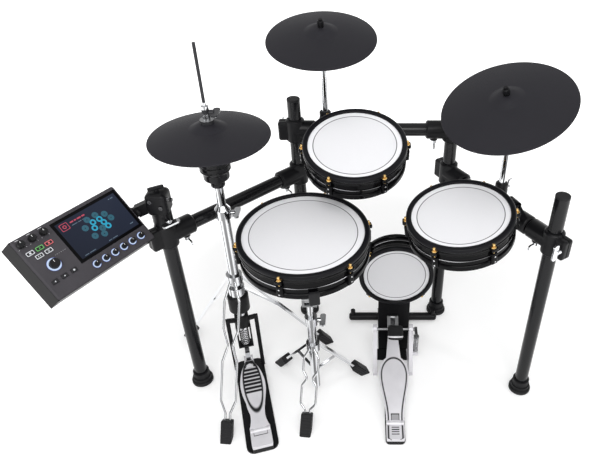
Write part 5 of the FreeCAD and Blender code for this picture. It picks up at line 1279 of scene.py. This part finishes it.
class KIT_OT_module(bpy.types.Operator):
    """Finish the sound module: case, screen, knobs, keys and lit marks"""
    bl_idname = "kit.module"
    bl_label = "Sound module"

    def execute(self, context):
        size = context.scene.kit_module
        place, screen = module_frame()

        def sides(material):
            depth = measured(material, place, 2)
            return ranged(material, depth, 1.0, 0.0, from_low=-0.0042, from_high=-0.0036)

        # Below its top face the case is painted far darker (0.12 of the panel's colour) and glossier.
        side_tone = 0.12
        panel = (size.case_colour, 0.48, 0.0)
        below_top_face = (scaled(size.case_colour, side_tone), 0.30, 0.0)
        case = two_tone("module_case", sides, panel, below_top_face, specular=0.12)
        dressed(case, "module_case", bevel=0.0008)
        dressed(self.screen_glass(size, place, screen), "touch_screen")
        self.knobs(size)
        self.keys(size, place)
        self.marks(size, place, screen)
        self.panel_trim(place, screen)
        return {"FINISHED"}

    def screen_glass(self, size, place, screen):
        """Black glass; inside the bezel it glows dark blue, lighter towards its upper right corner."""
        dim_tone, bright_tone, black = 0.75, 1.3, (0.0, 0.0, 0.0)
        glass_dark, glass_light = (0.002, 0.002, 0.002), (0.004, 0.004, 0.005)
        material, shader = blank("screen_glass", specular=0.05, rough=0.2)
        link = material.node_tree.links.new
        sides = []
        for axis in (0, 1):
            lit_half = screen[axis] / 2 - size.bezel
            sides.append(between(material, measured(material, place, axis), -lit_half, lit_half))
        lit = math_node(material.node_tree, "MULTIPLY", *sides)
        slant = along_axis(material, place[:3, 3], place[:3, 0] + place[:3, 1])
        fade = ranged(material, slant, 0.0, 1.0, -screen.sum() / 2, screen.sum() / 2)
        shade, shine = (scaled(size.screen_colour, tone) for tone in (dim_tone, bright_tone))
        blue = mixed(material, shade, shine, fade)
        link(mixed(material, black, blue, lit), shader.inputs["Emission Color"])
        shader.inputs["Emission Strength"].default_value = size.glow
        noise = placed_group(material, "kit_grain", grain_group, Scale=60.0, Broad=14.0)
        link(mixed(material, glass_dark, glass_light, noise["Tone"]), shader.inputs["Base Color"])
        return material

    def knobs(self, size):
        """Fluted caps with a pale pointer; lit rings lie round the dial and the small knobs."""
        black = skin("knob_black", ((0.010, 0.010, 0.011), 0.38, 0.0), grain=1200.0)
        white = skin("pointer_white", ((0.72, 0.72, 0.72), 0.5, 0.0))
        lit = glowing("ring_light", size.ring_colour, size.glow)
        halo = glowing("ring_halo", (0.02, 0.06, 0.42), size.glow)
        along = np.array(JOINTS["module_tilt"]["axis"])
        flute_depth, pointer_width, pointer_height, pointer_lift = 0.018, 0.0011, 0.0005, 0.0001
        ring_low, ring_high, halo_high, halo_lap, halo_width = 0.0001, 0.0006, 0.0005, 0.0001, 0.0007
        dial_ring, knob_ring = 0.0036, 0.0024
        rings, halos = [], []
        for name in KNOBS + ["menu_dial"]:
            joint = JOINTS[name + "_turn"]
            place = matrix(np.array(joint["pos_m"]), along, np.array(joint["axis"]))
            local = within(node_points(name), place)
            radius = np.hypot(local[:, 0], local[:, 1]).max()
            top = local[:, 2].max()
            dish = top * 0.93
            cap = self.cap(radius, top, dish)
            add_piece(name + "_cap", [turned(cap, place, 120, size.flute_count, flute_depth)], black, name,
                      (name,))
            seat = shifted(place, 0, radius * 0.42, dish + pointer_lift)
            pointer = soft_box((pointer_width, radius * 0.5, pointer_height), seat)
            add_piece(name + "_pointer", [pointer], white, name)
            if not name.startswith("volume"):
                outer = radius + (dial_ring if name == "menu_dial" else knob_ring)
                rings.append(ring_band(radius * 0.97, outer, ring_low, ring_high, place))
                halos.append(ring_band(outer - halo_lap, outer + halo_width, ring_low, halo_high, place))
        add_piece("knob_light_rings", rings, lit, "module")
        add_piece("knob_light_halos", halos, halo, "module")

    def cap(self, radius, top, dish):
        """Profile of a knob: dished top, tapered grip, skirt and shaft."""
        clear, shaft, shaft_end, shaft_low = 0.0007, 0.0031, 0.0029, -0.004
        return rounded([(0, dish), (radius * 0.78, dish), (radius * 0.82, top), (radius * 0.93, top),
                        (radius * 0.97, top * 0.25), (radius, top * 0.18), (radius, clear), (shaft, clear),
                        (shaft_end, shaft_low), (0, shaft_low)], 0.0008, 4)

    def keys(self, size, place):
        """Dark keys with a lit outline and a plain sign; the small keys below carry only a light mark."""
        dressed(skin("key_dark", ((0.016, 0.016, 0.018), 0.45, 0.0)), *KEYS)
        white = glowing("white_light", (0.78, 0.80, 0.84), size.glow)
        green = glowing("green_light", (0.16, 0.55, 0.14), size.glow)
        red = glowing("red_light", (0.80, 0.16, 0.18), size.glow)
        lights = {"play_button": (green, "key_green"), "record_button": (red, "key_red")}
        cap_depth, inset, rim, sunk, raised = 0.0030, 0.0004, 0.0015, -0.0002, 0.0003
        for name in KEYS:
            local = within(node_points(name), place)
            top = local[:, 2].max()
            cap = local[local[:, 2] > top - cap_depth]
            low, high = cap.min(0), cap.max(0)
            middle = shifted(place, *((low + high) / 2)[:2], top)
            length, width = (high - low)[:2]
            light, slot = lights.get(name, (white, "key_white"))
            surfaces = self.sign(name, middle, width * 0.22, sunk, raised)
            if name.split("_")[0] not in ("left", "right", "enter"):
                surfaces.append(rim_band((length - inset, width - inset), rim, sunk, raised, middle))
            add_piece(name + "_light", surfaces, light, name)

    def sign(self, name, middle, reach, low, high):
        """Small closed sign on a key: square, triangle, disc, two bars or ring."""
        if name == "stop_button":
            return [soft_box((2 * reach, 2 * reach, high - low), middle)]
        if name in ("play_button", "right_button"):
            return [prism(3, reach, low, high, middle)]
        if name == "left_button":
            return [prism(3, reach, low, high, shifted(middle, 0, 0, 0, math.pi))]
        if name == "loop_button":
            return [ring_band(reach * 0.6, reach, low, high, middle, 32)]
        if name == "click_button":
            return [soft_box((reach * 0.6, 2 * reach, high - low), shifted(middle, side * reach, 0, 0))
                    for side in (-1, 1)]
        return [prism(32, reach, low, high, middle)]

    def marks(self, size, place, screen):
        """Plain drawing on the screen: a cluster of bright and dim rings, a framed sign and short dashes."""
        bright = glowing("screen_bright", size.mark_colour, size.glow)
        dim = glowing("screen_dim", scaled(size.mark_colour, 0.26), size.glow)
        warm = glowing("screen_warm", size.warm_colour, size.glow)
        pale = glowing("screen_pale", (0.10, 0.16, 0.22), size.glow)
        low, high, dash_gap = -0.0001, 0.0003, 0.012
        thick, medium, thin = 0.0034, 0.0022, 0.0016

        def spot(across, down):
            return shifted(place, (across - 0.5) * screen[0], (0.5 - down) * screen[1], 0)

        def ring(at, inner, outer):
            return ring_band(inner, outer, low, high, at)

        def dashes(start, down, widths, height):
            found, x = [], start
            for wide in widths:
                found.append(soft_box((wide * screen[0], height, high - low), spot(x + wide / 2, down)))
                x += wide + dash_gap
            return found

        def mark(name, surfaces, material):
            add_piece("screen_" + name, surfaces, material, "module")

        strong = [(0.436, 0.516), (0.603, 0.616), (0.565, 0.403), (0.586, 0.505), (0.467, 0.394)]
        faint = [(0.553, 0.286), (0.665, 0.363), (0.705, 0.50), (0.425, 0.290), (0.335, 0.421), (0.37, 0.66),
                 (0.49, 0.72), (0.52, 0.60)]
        mark("bright_rings", [ring(spot(*at), inner=0.0036, outer=0.0074) for at in strong], bright)
        mark("dim_rings", [ring(spot(*at), inner=0.0014, outer=0.0078) for at in faint], dim)
        sign = spot(0.135, 0.19)
        sign_size, sign_line = (0.020, 0.018), 0.0013
        framed = [rim_band(sign_size, sign_line, low, high, sign), ring(sign, inner=0.0026, outer=0.0044)]
        heading = dashes(0.225, 0.165, (0.05, 0.03, 0.06, 0.045), thick)
        mark("warm_marks", framed + heading, warm)
        lines = dashes(0.225, 0.235, (0.08, 0.05, 0.07), thin)
        lines += dashes(0.10, 0.90, (0.06, 0.09), thin)
        lines += dashes(0.47, 0.90, (0.05, 0.08), thin)
        lines += dashes(0.84, 0.14, (0.02, 0.04), medium)
        lines += dashes(0.86, 0.83, (0.05,), medium)
        mark("pale_marks", lines, pale)

    def panel_trim(self, place, screen):
        """Pale metal strip along the front edge of the case and short label dashes on the panel."""
        above_face, face_depth = 0.0002, 0.0004
        strip_inset, strip_width, strip_height, strip_drop = 0.006, 0.0036, 0.0040, 0.0034
        local = within(node_points("module_case"), place)
        heights = local[:, 2]
        face = local[np.abs(heights - heights[heights < above_face].max()) < face_depth]
        low, high = face.min(0), face.max(0)
        metal = skin("trim_metal", ((0.44, 0.41, 0.40), 0.35, 0.2), depth=0.00002)
        front = shifted(place, (low[0] + high[0]) / 2, low[1], -strip_drop)
        strip = soft_box((high[0] - low[0] - strip_inset, strip_width, strip_height), front, power=0.2)
        add_piece("module_front_trim", [strip], metal, "module")
        ink = skin("label_ink", ((0.52, 0.52, 0.54), 0.6, 0.0))
        add_piece("panel_labels", self.labels(place, screen, high[2]), ink, "module")

    def labels(self, place, screen, level):
        """Dash and two dots at each volume knob, and a row of fine dashes above the dial."""
        dash, dot, fine = (0.0085, 0.0014, 0.0003), (0.0014, 0.0014, 0.0003), (0.0018, 0.0006, 0.0003)
        dash_up, dot_out, row_up, row_start, row_step, row_count = 0.0125, 0.0088, 0.016, 0.008, 0.005, 6

        def knob_spot(name):
            return within(np.array(JOINTS[name + "_turn"]["pos_m"]), place)[:2]

        found = []
        for name in KNOBS:
            x, y = knob_spot(name)
            if name.startswith("volume"):
                found.append(soft_box(dash, shifted(place, x, y + dash_up, level)))
                for side in (-1, 1):
                    found.append(soft_box(dot, shifted(place, x + side * dot_out, y - dot_out, level)))
        row_y = knob_spot("menu_dial")[1] + row_up
        for step in range(row_count):
            x = -screen[0] / 2 - row_start - row_step * step
            found.append(soft_box(fine, shifted(place, x, row_y, level)))
        return found


class KIT_OT_stage(bpy.types.Operator):
    """Set up the camera, the pale floor, the sky light and the lamps"""
    bl_idname = "kit.stage"
    bl_label = "Studio"

    def execute(self, context):
        size = context.scene.kit_stage
        scene = context.scene
        scene.view_settings.view_transform = "Standard"
        camera = bpy.data.cameras.new("photo_camera")
        camera.sensor_width = 36.0
        camera.lens = size.lens
        camera.shift_x = size.shift
        camera.clip_end = 100.0
        viewer = bpy.data.objects.new("photo_camera", camera)
        viewer.location = (size.camera_x, size.camera_y, size.camera_z)
        viewer.rotation_euler = Euler((math.pi / 2 - size.camera_pitch, 0, 0))
        scene.collection.objects.link(viewer)
        scene.camera = viewer
        self.floor(size)
        self.sky(scene, size)
        strip = (0.22, 2.4)
        self.lamp("overhead_box", (0.0, -0.3, 3.6), (0, 0, 0), (5.0, 5.0), size.key_power)
        self.lamp("front_box", (-0.1, -2.6, 2.8), (47, 0, 0), (2.6, 1.5), size.front_power)
        self.lamp("left_box", (-2.8, -1.6, 1.8), (62, 0, -60), strip, size.fill_power)
        self.lamp("right_box", (2.6, -1.8, 2.0), (60, 0, 55), strip, size.fill_power)
        return {"FINISHED"}

    def lamp(self, name, place, turn, sides, power):
        """Oblong soft box, turned by degrees about x, y and z."""
        light = bpy.data.lights.new(name, "AREA")
        light.shape = "RECTANGLE"
        light.size, light.size_y = sides
        light.energy = power
        holder = bpy.data.objects.new(name, light)
        holder.location = place
        holder.rotation_euler = Euler(map(math.radians, turn))
        bpy.context.scene.collection.objects.link(holder)

    def seen(self, tree):
        """One for rays from the camera, from a mirror-like surface or through glass."""
        path = tree.nodes.new("ShaderNodeLightPath").outputs
        direct = math_node(tree, "MAXIMUM", path["Is Camera Ray"], path["Is Glossy Ray"])
        return math_node(tree, "MAXIMUM", direct, path["Is Transmission Ray"])

    def floor(self, size):
        """Level floor: pale and diffuse, with a share of white where it is seen, all white far away."""
        steps, near, far = 9, 0.9, 2.0
        reach = np.linspace(-size.floor_size, size.floor_size, steps)
        x_grid, y_grid = np.meshgrid(reach, reach)
        grid = np.stack([x_grid, y_grid, np.zeros_like(x_grid)], -1)
        mesh = bpy.data.meshes.new("studio_floor")
        mesh.from_pydata(grid.reshape(-1, 3), [], quads_of(steps, steps))
        floor = bpy.data.objects.new("studio_floor", mesh)
        bpy.context.scene.collection.objects.link(floor)
        material = bpy.data.materials.new("pale_floor")
        material.use_nodes = True
        tree = material.node_tree
        tree.nodes.remove(tree.nodes["Principled BSDF"])
        paint = tree.nodes.new("ShaderNodeBsdfDiffuse")
        paint.inputs["Color"].default_value = (size.floor_colour, size.floor_colour, size.floor_colour, 1)
        white = tree.nodes.new("ShaderNodeEmission")
        both = tree.nodes.new("ShaderNodeAddShader")
        away = vector_node(tree, "LENGTH", coordinate(tree))["Value"]
        share = range_node(tree, away, near, far, size.floor_glow, 1.0)
        glow = math_node(tree, "MULTIPLY", self.seen(tree), share)
        tree.links.new(glow, white.inputs["Strength"])
        tree.links.new(paint.outputs[0], both.inputs[0])
        tree.links.new(white.outputs[0], both.inputs[1])
        tree.links.new(both.outputs[0], tree.nodes["Material Output"].inputs["Surface"])
        mesh.materials.append(material)

    def sky(self, scene, size):
        """Even light from all round; where it is seen, white at the horizon and grey overhead."""
        low, high = 0.25, 0.9
        world = bpy.data.worlds.new("studio_sky")
        world.use_nodes = True
        tree = world.node_tree
        back = tree.nodes["Background"]
        height = parts_of(tree, coordinate(tree, "Generated"))["Z"]
        grey = range_node(tree, height, low, high, 1.0, size.zenith)
        seen = self.seen(tree)
        unseen = math_node(tree, "SUBTRACT", 1.0, seen)
        even = math_node(tree, "MULTIPLY", unseen, size.world_light)
        strength = math_node(tree, "ADD", math_node(tree, "MULTIPLY", seen, grey), even)
        tree.links.new(strength, back.inputs["Strength"])
        back.inputs["Color"].default_value = (1, 1, 1, 1)
        scene.world = world


class KIT_PT_panel(bpy.types.Panel):
    bl_idname = "KIT_PT_panel"
    bl_label = "Drum kit"
    bl_space_type = "VIEW_3D"
    bl_region_type = "UI"
    bl_category = "Drum kit"

    def draw(self, context):
        for key, group in SETTINGS:
            box = self.layout.box()
            box.label(text=group.__doc__)
            for name in group.__annotations__:
                box.prop(getattr(context.scene, key), name)
        for operator in OPERATORS:
            self.layout.operator(operator.bl_idname)


OPERATORS = (KIT_OT_stage, KIT_OT_rack, KIT_OT_stands, KIT_OT_springs, KIT_OT_heads, KIT_OT_hoops,
             KIT_OT_cymbals, KIT_OT_pedals, KIT_OT_module)


def register():
    """Register settings, operators and panel."""
    for key, group in SETTINGS:
        bpy.utils.register_class(group)
        setattr(bpy.types.Scene, key, PointerProperty(type=group))
    for operator in OPERATORS:
        bpy.utils.register_class(operator)
    bpy.utils.register_class(KIT_PT_panel)


def unregister():
    """Take everything out again."""
    bpy.utils.unregister_class(KIT_PT_panel)
    for operator in reversed(OPERATORS):
        bpy.utils.unregister_class(operator)
    for key, group in reversed(SETTINGS):
        delattr(bpy.types.Scene, key)
        bpy.utils.unregister_class(group)


def main():
    """Register and run every operator in order."""
    register()
    bpy.ops.kit.stage()
    bpy.ops.kit.rack()
    bpy.ops.kit.stands()
    bpy.ops.kit.springs()
    bpy.ops.kit.heads()
    bpy.ops.kit.hoops()
    bpy.ops.kit.cymbals()
    bpy.ops.kit.pedals()
    bpy.ops.kit.module()


if __name__ == "__main__":
    main()
